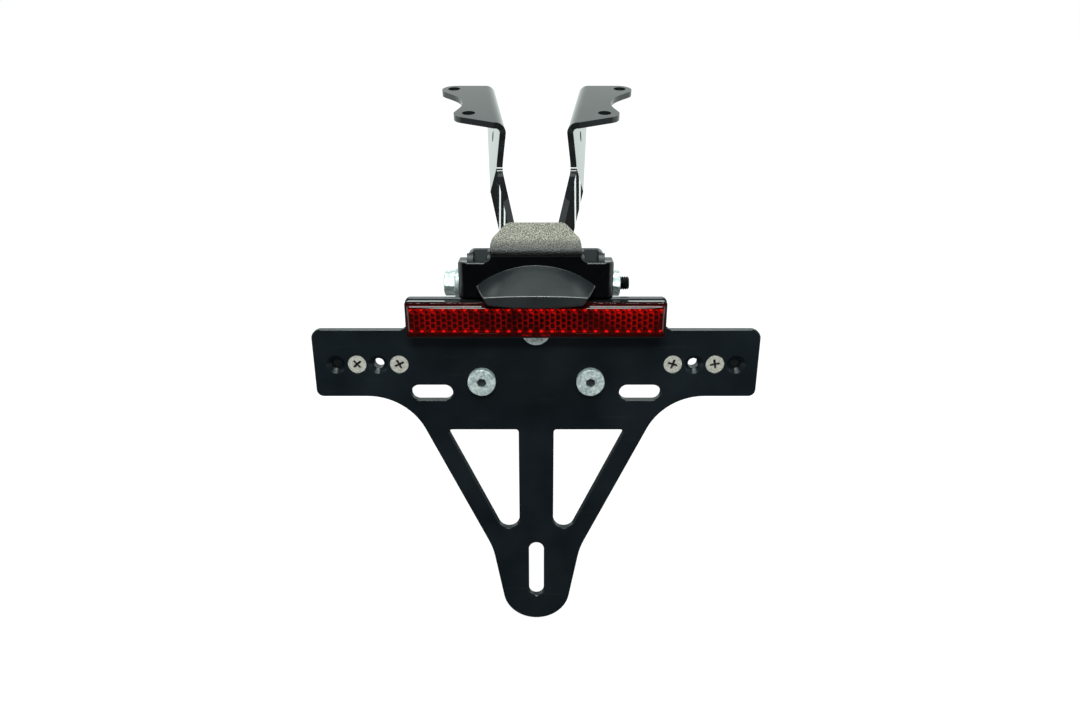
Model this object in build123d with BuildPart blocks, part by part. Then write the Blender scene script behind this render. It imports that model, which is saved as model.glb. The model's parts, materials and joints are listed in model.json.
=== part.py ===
"""Tail tidy: a tilting number-plate holder on two folded arms, in millimetres.

+X is the bike's right, +Y is forwards and +Z is up. The origin lies midway between the rear
pair of tab holes, on the top face of the tabs. Heights on the holder are measured up the plate
from the bar's top edge, and depths are measured out of the plate's front face.
"""

import os
from math import cos, radians, sin, sqrt, tan

from build123d import *

os.makedirs("parts", exist_ok=True)

# Arms, folded from sheet
sheet = 3.0
rear_hole_spacing = 67.8
front_hole_spacing = 90.2
hole_row_pitch = 43.2
tab_hole_diameter = 6.6
tab_margin = 7.5
tab_front_margin = 6.3
tab_rear_angle = 26.5
tab_waist_angle = 16.7
tab_flare_angle = 42.0
tab_waist_radius = 24.0
fold_half_gap = 16.1
web_splay = 7.25
web_lean = 7.3
bend_radius = 2.0
web_rear_y = -15.0
knee_z = -23.4
knee_foot_y = 1.6
knee_foot_z = -42.0
knee_radius = 6.0
arm_corner_radius = 4.0
web_front_depth = 22.0
web_corner_radius = 5.0
web_hole_diameter = 5.5
web_hole_y = 15.0
web_hole_z = -17.0
lower_bend_y = -59.2
lower_bend_z = -32.4
lower_arm_sag_y = -27.0
lower_arm_sag_z = -46.3
eye_half_gap = 10.0
eye_radius = 8.5

# Hinge: the cross bolt and what is stacked on it
lean = 15.5
pivot_y = -90.4
pivot_z = -46.1
pivot_above_bar = 16.0
pivot_behind_face = 17.0
bolt_diameter = 6.0
bolt_clearance = 0.2
bolt_end_stand_out = 4.0
spacer_diameter = 10.0
spacer_chamfer = 0.4
arm_spacer_diameter = 16.0
turning_gap = 0.2
hex_across_flats = 10.0
bolt_head_height = 4.6
bolt_flange_diameter = 12.5
bolt_flange_thickness = 1.4
bolt_flange_slope = 25.0
bolt_end_chamfer = 0.7
hex_chamfer_angle = 60.0
hinge_washer_diameter = 13.0
hinge_washer_thickness = 1.6
nut_height = 5.0
nut_recess_depth = 0.8
nut_recess_clearance = 0.1

# Carrier plate
plate_thickness = 3.0
bar_width = 190.0
bar_height = 30.25
bar_top_radius = 4.0
bar_bottom_radius = 3.0
raised_tab_width = 109.0
raised_tab_height = 13.75
raised_tab_radius = 2.0
raised_tab_root_radius = 2.5
strut_root_half_width = 56.0
strut_angle = 25.0
strut_width = 8.6
strut_root_radius = 27.0
nose_angle = 10.2
nose_radius = 15.7
nose_centre_drop = 130.6
nose_blend_radius = 35.0
centre_rib_width = 15.5
window_drop = 46.15
window_top_radius = 1.3
window_toe_radius = 4.9
plate_edge_break = 0.4
slot_width = 7.0
bar_slot_length = 18.0
bar_slot_spacing = 90.0
bar_slot_drop = 28.5
nose_slot_length = 29.4
nose_slot_drop = 118.7

# Screws through the plate
m6_diameter = 6.0
m6_head_diameter = 12.0
m6_head_height = 3.0
m6_head_chamfer = 0.9
m6_socket_across_flats = 4.0
m6_socket_depth = 2.0
m6_clearance = 0.4
m6_nut_across_flats = 10.0
m6_nut_height = 5.0
m6_end_chamfer = 0.7
upper_screw_drop = 0.0
lower_screw_spacing = 46.6
lower_screw_drop = 23.0
thread_run_out = 1.5
m4_diameter = 4.0
m4_head_diameter = 8.0
m4_head_angle = 90.0
m4_hole_diameter = 4.5
m4_head_clearance = 0.15
m4_nut_across_flats = 7.0
m4_nut_height = 3.2
bracket_hole_row_drop = 15.55
bracket_hole_margin = 9.5
bracket_hole_pitch = 9.0
bracket_hole_count = 4
cross_recess_length = 4.6
cross_recess_width = 0.95
cross_recess_depth = 1.8

# Indicator brackets behind the plate's ends
bracket_end_gap = 4.0
bracket_length = 38.0
bracket_height = 18.0
bracket_corner_radius = 3.0
bracket_sheet = 3.0
bracket_return = 26.0
bracket_return_radius = 6.0
bracket_stem_hole = 8.5
bracket_stem_depth = 15.0

# Reflector
reflector_width = 107.0
reflector_height = 15.5
reflector_drop = 1.45
reflector_depth = 8.0
reflector_draft = 7.0
reflector_corner_radius = 1.2
reflector_bezel = 0.5
reflector_lens_depth = 4.8
reflector_lens_clearance = 0.1
reflector_lens_chamfer = 1.2
pad_thickness = 1.0
pad_margin = 2.5
pad_end_margin = 5.0
head_relief = 0.6

# Hinge block
block_front = 2.0
block_seat_height = 14.6
block_ledge_height = 29.0
block_ledge_depth = 9.0
block_top_height = 32.15
block_edge_radius = 4.0
rim_width = 57.0
rim_side_step = 3.5
rim_front = -5.0
rim_depth = 8.0
rim_radius = 3.0
rim_flare = 2.5
ledge_edge_radius = 0.8
ear_boss_radius = 10.5
bay_width = 34.0
bay_front = -8.2
front_wall = 4.5
roof_pocket_floor = 24.9
side_pocket_inner = 20.0
side_pocket_outer = 26.0
side_pocket_front = -1.5
side_pocket_back = -10.0
side_pocket_floor = 22.0
side_pocket_radius = 1.0
foot_leg_width = 17.0
foot_thickness = 5.0
foot_drop = 33.0
foot_corner_radius = 8.0
foot_arch_drop = 10.0
foot_arch_radius = 6.0
gusset_thickness = 3.5
gusset_depth = 9.0
gusset_drop = 12.0

# Hinge cover
cover_width = 37.0
cover_top_width = 23.1
cover_shoulder_height = 5.0
cover_height = 11.95
cover_lip = 1.5
cover_slope = 30.0
cover_ridge = 2.0
cover_corner_radius = 4.0
cover_roll_radius = 4.0
cover_edge_radius = 0.6
cover_wall = 2.0

# Lamp
hood_wall_width = 48.5
hood_shoulder_height = 19.2
hood_arch_rise = 8.55
hood_base_width = 45.0
hood_base_height = 15.0
hood_reach = 19.0
hood_lip_width = 41.0
hood_lip_base_width = 37.0
hood_lip_height = 19.5
hood_lip_base_height = 16.2
hood_lip_crown = 0.45
hood_lip_sag = 1.2
hood_edge_radius = 0.6
lamp_width = 30.0
lamp_length = 12.0
lamp_front_wall = 2.0
lamp_cavity_depth = 2.4
lamp_lens_thickness = 0.8
lamp_lens_recess = 0.1
lamp_fit = 0.15
lamp_board_fit = 0.3
lamp_board_thickness = 0.8
led_size = 3.0
led_height = 0.5
led_count = 3
led_pitch = 9.0
lamp_screw_diameter = 2.9
lamp_screw_clearance = 0.1
lamp_screw_head_diameter = 5.0
lamp_screw_head_height = 1.8
lamp_screw_spacing = 12.0
lamp_screw_height = 21.5
lamp_screw_bite = 3.0

# Reference planes of the holder. Across a level plane the sketch runs right and backwards.
hinge = Plane(
    origin=(0, pivot_y, pivot_z),
    x_dir=(1, 0, 0),
    z_dir=(0, -cos(radians(lean)), sin(radians(lean))),
)
face = Plane(hinge.location * Location((0, -pivot_above_bar, pivot_behind_face)))
side = Plane(origin=face.origin, x_dir=face.z_dir, z_dir=(-1, 0, 0))
pivot_in_side = (-pivot_behind_face, pivot_above_bar)
upright = Axis(face.origin, face.y_dir)
out_of_face = Axis(face.origin, face.z_dir)

# An edge counts as lying on a plane when it is this close
touch = 0.01


def level(height):
    """Plane across the holder at a height above the bar's top edge."""
    return Plane(origin=face.from_local_coords((0, height, 0)), x_dir=(1, 0, 0), z_dir=face.y_dir)


def edge_line(point, normal_angle, margin=0.0):
    """Line past a point, as its outward normal and its distance from the sketch's origin."""
    normal = (cos(radians(normal_angle)), sin(radians(normal_angle)))
    return normal, point[0] * normal[0] + point[1] * normal[1] + margin


def meet(line_a, line_b):
    """Corner where two edge lines cross."""
    (ax, ay), reach_a = line_a
    (bx, by), reach_b = line_b
    turn = ax * by - ay * bx
    return (reach_a * by - reach_b * ay) / turn, (ax * reach_b - bx * reach_a) / turn


def mitre(point, along, normal_a, normal_b, ahead):
    """Plane that splits a bend between two sheets evenly, facing the way ahead points."""
    across = along.cross(normal_a + normal_b)
    if across.dot(Vector(*ahead)) < 0:
        across = -across
    return Plane(origin=point, z_dir=across)


# Planes of the right arm: tab, web, lower arm and eye, each by its inner face
web_normal = Vector(1, -tan(radians(web_splay)), tan(radians(web_lean))).normalized()
fold_direction = Vector(tan(radians(web_splay)), 1, 0).normalized()
fold_point = Vector(fold_half_gap, 0, 0)


def on_web(y, z):
    """Point on the web's inner face, seen from the side."""
    return Vector(fold_half_gap + y * tan(radians(web_splay)) - z * tan(radians(web_lean)), y, z)


knee = on_web(web_rear_y, knee_z)
knee_foot = on_web(knee_foot_y, knee_foot_z)
lower_bend = Vector(eye_half_gap, lower_bend_y, lower_bend_z)
lower_normal = (lower_bend - knee).cross(knee_foot - knee).normalized()
outward = Vector(1, 0, 0)
tab_mitre = mitre(fold_point, fold_direction, web_normal, Vector(0, 0, -1), (1, 0, 0))
knee_mitre = mitre(knee, knee_foot - knee, web_normal, lower_normal, (0, 1, 0))
lower_mitre = mitre(lower_bend, lower_normal.cross(outward), lower_normal, outward, (0, 1, 0))

# Outline of the right tab, from edge lines that keep a margin round both holes
rear_hole = (rear_hole_spacing / 2, 0)
front_hole = (front_hole_spacing / 2, hole_row_pitch)
tab_rear_edge = edge_line(rear_hole, tab_rear_angle - 90, tab_margin)
tab_waist_edge = edge_line(rear_hole, tab_waist_angle, tab_margin)
tab_flare_edge = edge_line(front_hole, -tab_flare_angle, tab_margin)
tab_front_edge = edge_line(front_hole, 90, tab_front_margin)
tab_fold_edge = edge_line((fold_half_gap, 0), 180 - web_splay)
web_rear_edge = edge_line((0, web_rear_y), -90)
fold_rear = meet(tab_fold_edge, web_rear_edge)
fold_front = meet(tab_fold_edge, tab_front_edge)
blank_size = 2 * (hole_row_pitch - pivot_y + front_hole_spacing)

with BuildPart() as tab_blank:
    with BuildSketch(Plane.XY):
        with BuildLine():
            FilletPolyline(
                fold_rear,
                meet(web_rear_edge, tab_rear_edge),
                meet(tab_rear_edge, tab_waist_edge),
                meet(tab_waist_edge, tab_flare_edge),
                meet(tab_flare_edge, tab_front_edge),
                fold_front,
                radius=[0, tab_margin, tab_waist_radius, tab_margin],
            )
            Line(fold_front, fold_rear)
        make_face()
    extrude(amount=-sheet)
    split(bisect_by=tab_mitre, keep=Keep.TOP)

with BuildPart() as web_blank:
    with BuildSketch(Plane(origin=knee, z_dir=web_normal)):
        Rectangle(blank_size, blank_size)
    extrude(amount=sheet)
    split(bisect_by=tab_mitre, keep=Keep.BOTTOM)
    split(bisect_by=knee_mitre, keep=Keep.TOP)

with BuildPart() as lower_blank:
    with BuildSketch(Plane(origin=knee, z_dir=lower_normal)):
        Rectangle(blank_size, blank_size)
    extrude(amount=sheet)
    split(bisect_by=knee_mitre, keep=Keep.BOTTOM)
    split(bisect_by=lower_mitre, keep=Keep.TOP)

with BuildPart() as eye_blank:
    with BuildSketch(Plane(origin=lower_bend, z_dir=outward)):
        Rectangle(blank_size, blank_size)
    extrude(amount=sheet)
    split(bisect_by=lower_mitre, keep=Keep.BOTTOM)

# Tangent points on the eye, seen from the side, for the arm's upper and lower edges
pivot_side = Vector(pivot_y, pivot_z)


def eye_tangent(point, upper):
    """Point of the eye's circle where a straight edge from a point touches it."""
    away = Vector(*point) - pivot_side
    swing = eye_radius / away.length
    lift = sqrt(1 - swing * swing) * (1 if upper else -1)
    unit = away.normalized()
    square = Vector(-unit.Y, unit.X)
    return pivot_side + unit * (eye_radius * swing) + square * (eye_radius * lift)


fold_axis = Axis(fold_point, fold_direction)


def from_fold(edge):
    """Distance of an edge's middle from the line where the tab is folded."""
    return (edge @ 0.5 - fold_point).cross(fold_direction).length


upper_tangent = eye_tangent((lower_bend_y, lower_bend_z), True)
lower_tangent = eye_tangent((lower_arm_sag_y, lower_arm_sag_z), False)

with BuildPart() as right_arm:
    add([web_blank.part, lower_blank.part, eye_blank.part])
    with BuildSketch(Plane.YZ):
        with BuildLine():
            FilletPolyline(
                (lower_tangent.X, lower_tangent.Y),
                (lower_arm_sag_y, lower_arm_sag_z),
                (knee_foot_y, knee_foot_z),
                (fold_front[1], -web_front_depth),
                (fold_front[1], sheet),
                (web_rear_y, sheet),
                (web_rear_y, knee_z),
                (lower_bend_y, lower_bend_z),
                (upper_tangent.X, upper_tangent.Y),
                radius=[
                    arm_corner_radius,
                    arm_corner_radius,
                    web_corner_radius,
                    0,
                    0,
                    knee_radius,
                    arm_corner_radius,
                ],
            )
            ThreePointArc(
                (upper_tangent.X, upper_tangent.Y),
                (pivot_y - eye_radius, pivot_z),
                (lower_tangent.X, lower_tangent.Y),
            )
        make_face()
    extrude(amount=blank_size, mode=Mode.INTERSECT)
    add(tab_blank.part)
    inside_edge = right_arm.edges().filter_by(fold_axis).sort_by(from_fold)[1]
    fillet(inside_edge, radius=bend_radius)
    outside_edge = right_arm.edges().filter_by(fold_axis).sort_by(from_fold)[0]
    fillet(outside_edge, radius=bend_radius + sheet)
    with Locations((rear_hole[0], rear_hole[1], 0), (front_hole[0], front_hole[1], 0)):
        Hole(radius=tab_hole_diameter / 2)
    with BuildSketch(Plane(origin=on_web(web_hole_y, web_hole_z), z_dir=web_normal)):
        Circle(web_hole_diameter / 2)
    extrude(amount=sheet, mode=Mode.SUBTRACT)
    with BuildSketch(Plane.YZ):
        with Locations((pivot_y, pivot_z)):
            Circle(bolt_diameter / 2 + bolt_clearance)
    extrude(amount=eye_half_gap + sheet, mode=Mode.SUBTRACT)
right_arm.part.label = "right_arm"
export_step(right_arm.part, "parts/right_arm.step")

with BuildPart() as left_arm:
    mirror(right_arm.part, about=Plane.YZ)
left_arm.part.label = "left_arm"
export_step(left_arm.part, "parts/left_arm.step")

# Cross bolt and its stack, along X from the left head to the right end
bolt_bore = bolt_diameter / 2 + bolt_clearance
ear_face = rim_width / 2 + rim_side_step
axis_plane = Plane(origin=hinge.origin, x_dir=face.z_dir, z_dir=(1, 0, 0))

with BuildPart() as centre_spacer:
    with BuildSketch(axis_plane):
        Circle(spacer_diameter / 2)
        Circle(bolt_bore, mode=Mode.SUBTRACT)
    extrude(amount=eye_half_gap, both=True)
    rim_edges = centre_spacer.edges().filter_by(GeomType.CIRCLE).group_by(SortBy.RADIUS)[-1]
    chamfer(rim_edges, length=spacer_chamfer)
centre_spacer.part.label = "centre_spacer"
export_step(centre_spacer.part, "parts/centre_spacer.step")

with BuildPart() as arm_spacers:
    with BuildSketch(axis_plane.offset(eye_half_gap + sheet + turning_gap)):
        Circle(arm_spacer_diameter / 2)
        Circle(bolt_bore, mode=Mode.SUBTRACT)
    extrude(amount=bay_width / 2 - eye_half_gap - sheet - turning_gap)
    mirror(about=Plane.YZ)
arm_spacers.part.label = "arm_spacers"
export_step(arm_spacers.part, "parts/arm_spacers.step")

washer_face = ear_face + hinge_washer_thickness
with BuildPart() as hinge_washer:
    with BuildSketch(axis_plane.offset(-washer_face)):
        Circle(hinge_washer_diameter / 2)
        Circle(bolt_bore, mode=Mode.SUBTRACT)
    extrude(amount=hinge_washer_thickness)
hinge_washer.part.label = "hinge_washer"
export_step(hinge_washer.part, "parts/hinge_washer.step")

head_top = washer_face + bolt_flange_thickness + bolt_head_height
nut_seat = ear_face - nut_recess_depth
bolt_end_reach = nut_seat + nut_height + bolt_end_stand_out
with BuildPart() as hinge_bolt:
    with BuildSketch(axis_plane.offset(-washer_face)):
        RegularPolygon(hex_across_flats / 2, 6, major_radius=False)
    extrude(amount=washer_face - head_top)
    with BuildSketch(axis_plane.offset(-head_top)):
        Circle(hex_across_flats / 2)
    extrude(amount=head_top - washer_face, taper=-hex_chamfer_angle, mode=Mode.INTERSECT)
    with BuildSketch(axis_plane.offset(-washer_face)):
        Circle(bolt_flange_diameter / 2)
    extrude(amount=-bolt_flange_thickness, taper=bolt_flange_slope)
    with BuildSketch(axis_plane.offset(-washer_face)):
        Circle(bolt_diameter / 2)
    extrude(amount=washer_face + bolt_end_reach)
    chamfer(hinge_bolt.edges().sort_by(Axis.X)[-1], length=bolt_end_chamfer)
hinge_bolt.part.label = "hinge_bolt"
export_step(hinge_bolt.part, "parts/hinge_bolt.step")

with BuildPart() as hinge_nut:
    with BuildSketch(axis_plane.offset(nut_seat)):
        RegularPolygon(hex_across_flats / 2, 6, major_radius=False)
    extrude(amount=nut_height)
    with BuildSketch(axis_plane.offset(nut_seat + nut_height)):
        Circle(hex_across_flats / 2)
    extrude(amount=-nut_height, taper=-hex_chamfer_angle, mode=Mode.INTERSECT)
    with BuildSketch(axis_plane.offset(nut_seat)):
        Circle(bolt_bore)
    extrude(amount=nut_height, mode=Mode.SUBTRACT)
hinge_nut.part.label = "hinge_nut"
export_step(hinge_nut.part, "parts/hinge_nut.step")

# Carrier plate: edge lines of the right half
strut_line = edge_line((strut_root_half_width, -bar_height), -strut_angle)
nose_line = edge_line((0, -nose_centre_drop), -nose_angle, nose_radius)
bar_bottom_line = edge_line((0, -bar_height), -90)
nose_tangent = (
    nose_radius * cos(radians(nose_angle)),
    -nose_centre_drop - nose_radius * sin(radians(nose_angle)),
)
nose_tip = (0, -nose_centre_drop - nose_radius)

window_inner_line = edge_line((centre_rib_width / 2, 0), 180)
window_top_line = edge_line((0, -window_drop), 90)
window_outer_line = edge_line((strut_root_half_width, -bar_height), -strut_angle, -strut_width)

bracket_row_end = bar_width / 2 - bracket_hole_margin
bracket_row = [bracket_row_end - bracket_hole_pitch * step for step in range(bracket_hole_count)]
plate_holes = [(sign * x, -bracket_hole_row_drop) for sign in (-1, 1) for x in bracket_row]
screwed_holes = [(sign * x, -bracket_hole_row_drop) for sign in (-1, 1) for x in bracket_row[1::2]]
m6_holes = [
    (0, -upper_screw_drop),
    (-lower_screw_spacing / 2, -lower_screw_drop),
    (lower_screw_spacing / 2, -lower_screw_drop),
]
m6_bore = m6_diameter / 2 + m6_clearance / 2

with BuildPart() as carrier_plate:
    with BuildSketch(face):
        with BuildLine():
            FilletPolyline(
                (0, raised_tab_height),
                (raised_tab_width / 2, raised_tab_height),
                (raised_tab_width / 2, 0),
                (bar_width / 2, 0),
                (bar_width / 2, -bar_height),
                meet(bar_bottom_line, strut_line),
                meet(strut_line, nose_line),
                nose_tangent,
                radius=[
                    raised_tab_radius,
                    raised_tab_root_radius,
                    bar_top_radius,
                    bar_bottom_radius,
                    strut_root_radius,
                    nose_blend_radius,
                ],
            )
            RadiusArc(nose_tangent, nose_tip, nose_radius)
            mirror(about=Plane.YZ)
        make_face()
        with Locations((-bar_slot_spacing / 2, -bar_slot_drop), (bar_slot_spacing / 2, -bar_slot_drop)):
            SlotOverall(bar_slot_length, slot_width, mode=Mode.SUBTRACT)
        with Locations((0, -nose_slot_drop)):
            SlotOverall(nose_slot_length, slot_width, rotation=90, mode=Mode.SUBTRACT)
    extrude(amount=-plate_thickness)
    with BuildSketch(face):
        with BuildLine():
            FilletPolyline(
                meet(window_inner_line, window_top_line),
                meet(window_top_line, window_outer_line),
                meet(window_outer_line, window_inner_line),
                radius=[window_top_radius, window_top_radius, window_toe_radius],
                close=True,
            )
        make_face()
        mirror(about=Plane.YZ)
    extrude(amount=-plate_thickness, mode=Mode.SUBTRACT)
    plate_faces = carrier_plate.faces().filter_by(out_of_face).sort_by(out_of_face)
    chamfer(plate_faces[0].outer_wire().edges() + plate_faces[-1].edges(), length=plate_edge_break)
    with Locations(face):
        with Locations(*plate_holes):
            CounterSinkHole(
                radius=m4_hole_diameter / 2,
                counter_sink_radius=m4_head_diameter / 2 + m4_head_clearance,
                counter_sink_angle=m4_head_angle,
            )
        with Locations(*m6_holes):
            Hole(radius=m6_bore)
carrier_plate.part.label = "carrier_plate"
export_step(carrier_plate.part, "parts/carrier_plate.step")

# Three M6 screws through the plate and the block's foot
foot_back = plate_thickness + foot_thickness
with BuildPart() as carrier_screws:
    with BuildSketch(face):
        with Locations(*m6_holes):
            Circle(m6_head_diameter / 2)
    extrude(amount=m6_head_height)
    chamfer(carrier_screws.edges().group_by(out_of_face)[-1], length=m6_head_chamfer)
    with BuildSketch(face.offset(m6_head_height)):
        with Locations(*m6_holes):
            RegularPolygon(m6_socket_across_flats / 2, 6, major_radius=False)
    extrude(amount=-m6_socket_depth, mode=Mode.SUBTRACT)
    with BuildSketch(face):
        with Locations(*m6_holes):
            Circle(m6_diameter / 2)
    extrude(amount=-(foot_back + m6_nut_height + thread_run_out))
    chamfer(carrier_screws.edges().group_by(out_of_face)[0], length=m6_end_chamfer)
carrier_screws.part.label = "carrier_screws"
export_step(carrier_screws.part, "parts/carrier_screws.step")

with BuildPart() as carrier_nuts:
    with BuildSketch(face.offset(-foot_back)):
        with Locations(*m6_holes):
            RegularPolygon(m6_nut_across_flats / 2, 6, major_radius=False)
            Circle(m6_bore, mode=Mode.SUBTRACT)
    extrude(amount=-m6_nut_height)
carrier_nuts.part.label = "carrier_nuts"
export_step(carrier_nuts.part, "parts/carrier_nuts.step")

# Indicator brackets: a flange behind the plate and a return that takes the stem
bracket_outer_end = bar_width / 2 - bracket_end_gap
bracket_middle = bracket_outer_end - bracket_length / 2
bracket_back = plate_thickness + bracket_sheet
with BuildPart() as right_indicator_bracket:
    with BuildSketch(face.offset(-plate_thickness)):
        with Locations((bracket_middle, -bracket_hole_row_drop)):
            RectangleRounded(bracket_length, bracket_height, bracket_corner_radius)
        with Locations((bracket_outer_end - bracket_height / 2, -bracket_hole_row_drop)):
            Rectangle(bracket_height, bracket_height)
        with Locations(*[(x, -bracket_hole_row_drop) for x in bracket_row[1:]]):
            Circle(m4_hole_diameter / 2, mode=Mode.SUBTRACT)
    extrude(amount=-bracket_sheet)
    with BuildSketch(side.offset(-bracket_outer_end)):
        with BuildLine():
            FilletPolyline(
                (-plate_thickness, -bracket_hole_row_drop + bracket_height / 2),
                (-plate_thickness - bracket_return, -bracket_hole_row_drop + bracket_height / 2),
                (-plate_thickness - bracket_return, -bracket_hole_row_drop - bracket_height / 2),
                (-plate_thickness, -bracket_hole_row_drop - bracket_height / 2),
                radius=[bracket_return_radius, bracket_return_radius],
            )
            Line(
                (-plate_thickness, -bracket_hole_row_drop - bracket_height / 2),
                (-plate_thickness, -bracket_hole_row_drop + bracket_height / 2),
            )
        make_face()
        with Locations((-bracket_back - bracket_stem_depth, -bracket_hole_row_drop)):
            Circle(bracket_stem_hole / 2, mode=Mode.SUBTRACT)
    extrude(amount=bracket_sheet)
right_indicator_bracket.part.label = "right_indicator_bracket"
export_step(right_indicator_bracket.part, "parts/right_indicator_bracket.step")

with BuildPart() as left_indicator_bracket:
    mirror(right_indicator_bracket.part, about=Plane.YZ)
left_indicator_bracket.part.label = "left_indicator_bracket"
export_step(left_indicator_bracket.part, "parts/left_indicator_bracket.step")

m4_head_depth = (m4_head_diameter - m4_diameter) / 2 / tan(radians(m4_head_angle / 2))
with BuildPart() as bracket_screws:
    with BuildSketch(face.offset(-m4_head_clearance)):
        with Locations(*screwed_holes):
            Circle(m4_head_diameter / 2)
    extrude(amount=-m4_head_depth, taper=m4_head_angle / 2)
    with BuildSketch(face.offset(-m4_head_depth)):
        with Locations(*screwed_holes):
            Circle(m4_diameter / 2)
    extrude(amount=-(bracket_back + m4_nut_height + thread_run_out - m4_head_depth))
    with BuildSketch(face.offset(-m4_head_clearance)):
        with Locations(*screwed_holes):
            Rectangle(cross_recess_length, cross_recess_width)
            Rectangle(cross_recess_width, cross_recess_length)
    extrude(amount=-cross_recess_depth, mode=Mode.SUBTRACT)
bracket_screws.part.label = "bracket_screws"
export_step(bracket_screws.part, "parts/bracket_screws.step")

with BuildPart() as bracket_nuts:
    with BuildSketch(face.offset(-bracket_back)):
        with Locations(*screwed_holes):
            RegularPolygon(m4_nut_across_flats / 2, 6, major_radius=False)
            Circle(m4_hole_diameter / 2, mode=Mode.SUBTRACT)
    extrude(amount=-m4_nut_height)
bracket_nuts.part.label = "bracket_nuts"
export_step(bracket_nuts.part, "parts/bracket_nuts.step")

# Reflector: adhesive pad, tray and lens
reflector_middle = reflector_height / 2 - reflector_drop
tray_front = reflector_depth - reflector_lens_chamfer
tray_depth = tray_front - pad_thickness
lens_back = reflector_depth - reflector_lens_depth
head_relief_radius = m6_head_diameter / 2 + head_relief
with BuildPart() as reflector_pad:
    with BuildSketch(face):
        with Locations((0, reflector_middle)):
            Rectangle(reflector_width - 2 * pad_end_margin, reflector_height - 2 * pad_margin)
        with Locations(m6_holes[0]):
            Circle(head_relief_radius, mode=Mode.SUBTRACT)
    extrude(amount=pad_thickness)
reflector_pad.part.label = "reflector_pad"
export_step(reflector_pad.part, "parts/reflector_pad.step")

with BuildPart() as reflector_housing:
    with BuildSketch(face.offset(tray_front)):
        with Locations((0, reflector_middle)):
            RectangleRounded(reflector_width, reflector_height, reflector_corner_radius)
    extrude(amount=-tray_depth, taper=reflector_draft)
    with BuildSketch(face.offset(tray_front)):
        with Locations((0, reflector_middle)):
            Rectangle(reflector_width - 2 * reflector_bezel, reflector_height - 2 * reflector_bezel)
    extrude(amount=lens_back - tray_front, mode=Mode.SUBTRACT)
    with BuildSketch(face):
        with Locations(m6_holes[0]):
            Circle(head_relief_radius)
    extrude(amount=m6_head_height + head_relief, mode=Mode.SUBTRACT)
reflector_housing.part.label = "reflector_housing"
export_step(reflector_housing.part, "parts/reflector_housing.step")

lens_width = reflector_width - 2 * reflector_bezel - 2 * reflector_lens_clearance
lens_height = reflector_height - 2 * reflector_bezel - 2 * reflector_lens_clearance
with BuildPart() as reflector_lens:
    with BuildSketch(face.offset(lens_back)):
        with Locations((0, reflector_middle)):
            Rectangle(lens_width, lens_height)
    extrude(amount=reflector_lens_depth)
    chamfer(reflector_lens.faces().sort_by(out_of_face)[-1].edges(), length=reflector_lens_chamfer)
reflector_lens.part.label = "reflector_lens"
export_step(reflector_lens.part, "parts/reflector_lens.step")

lamp_screw_places = [
    (-lamp_screw_spacing / 2, lamp_screw_height),
    (lamp_screw_spacing / 2, lamp_screw_height),
]

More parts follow.
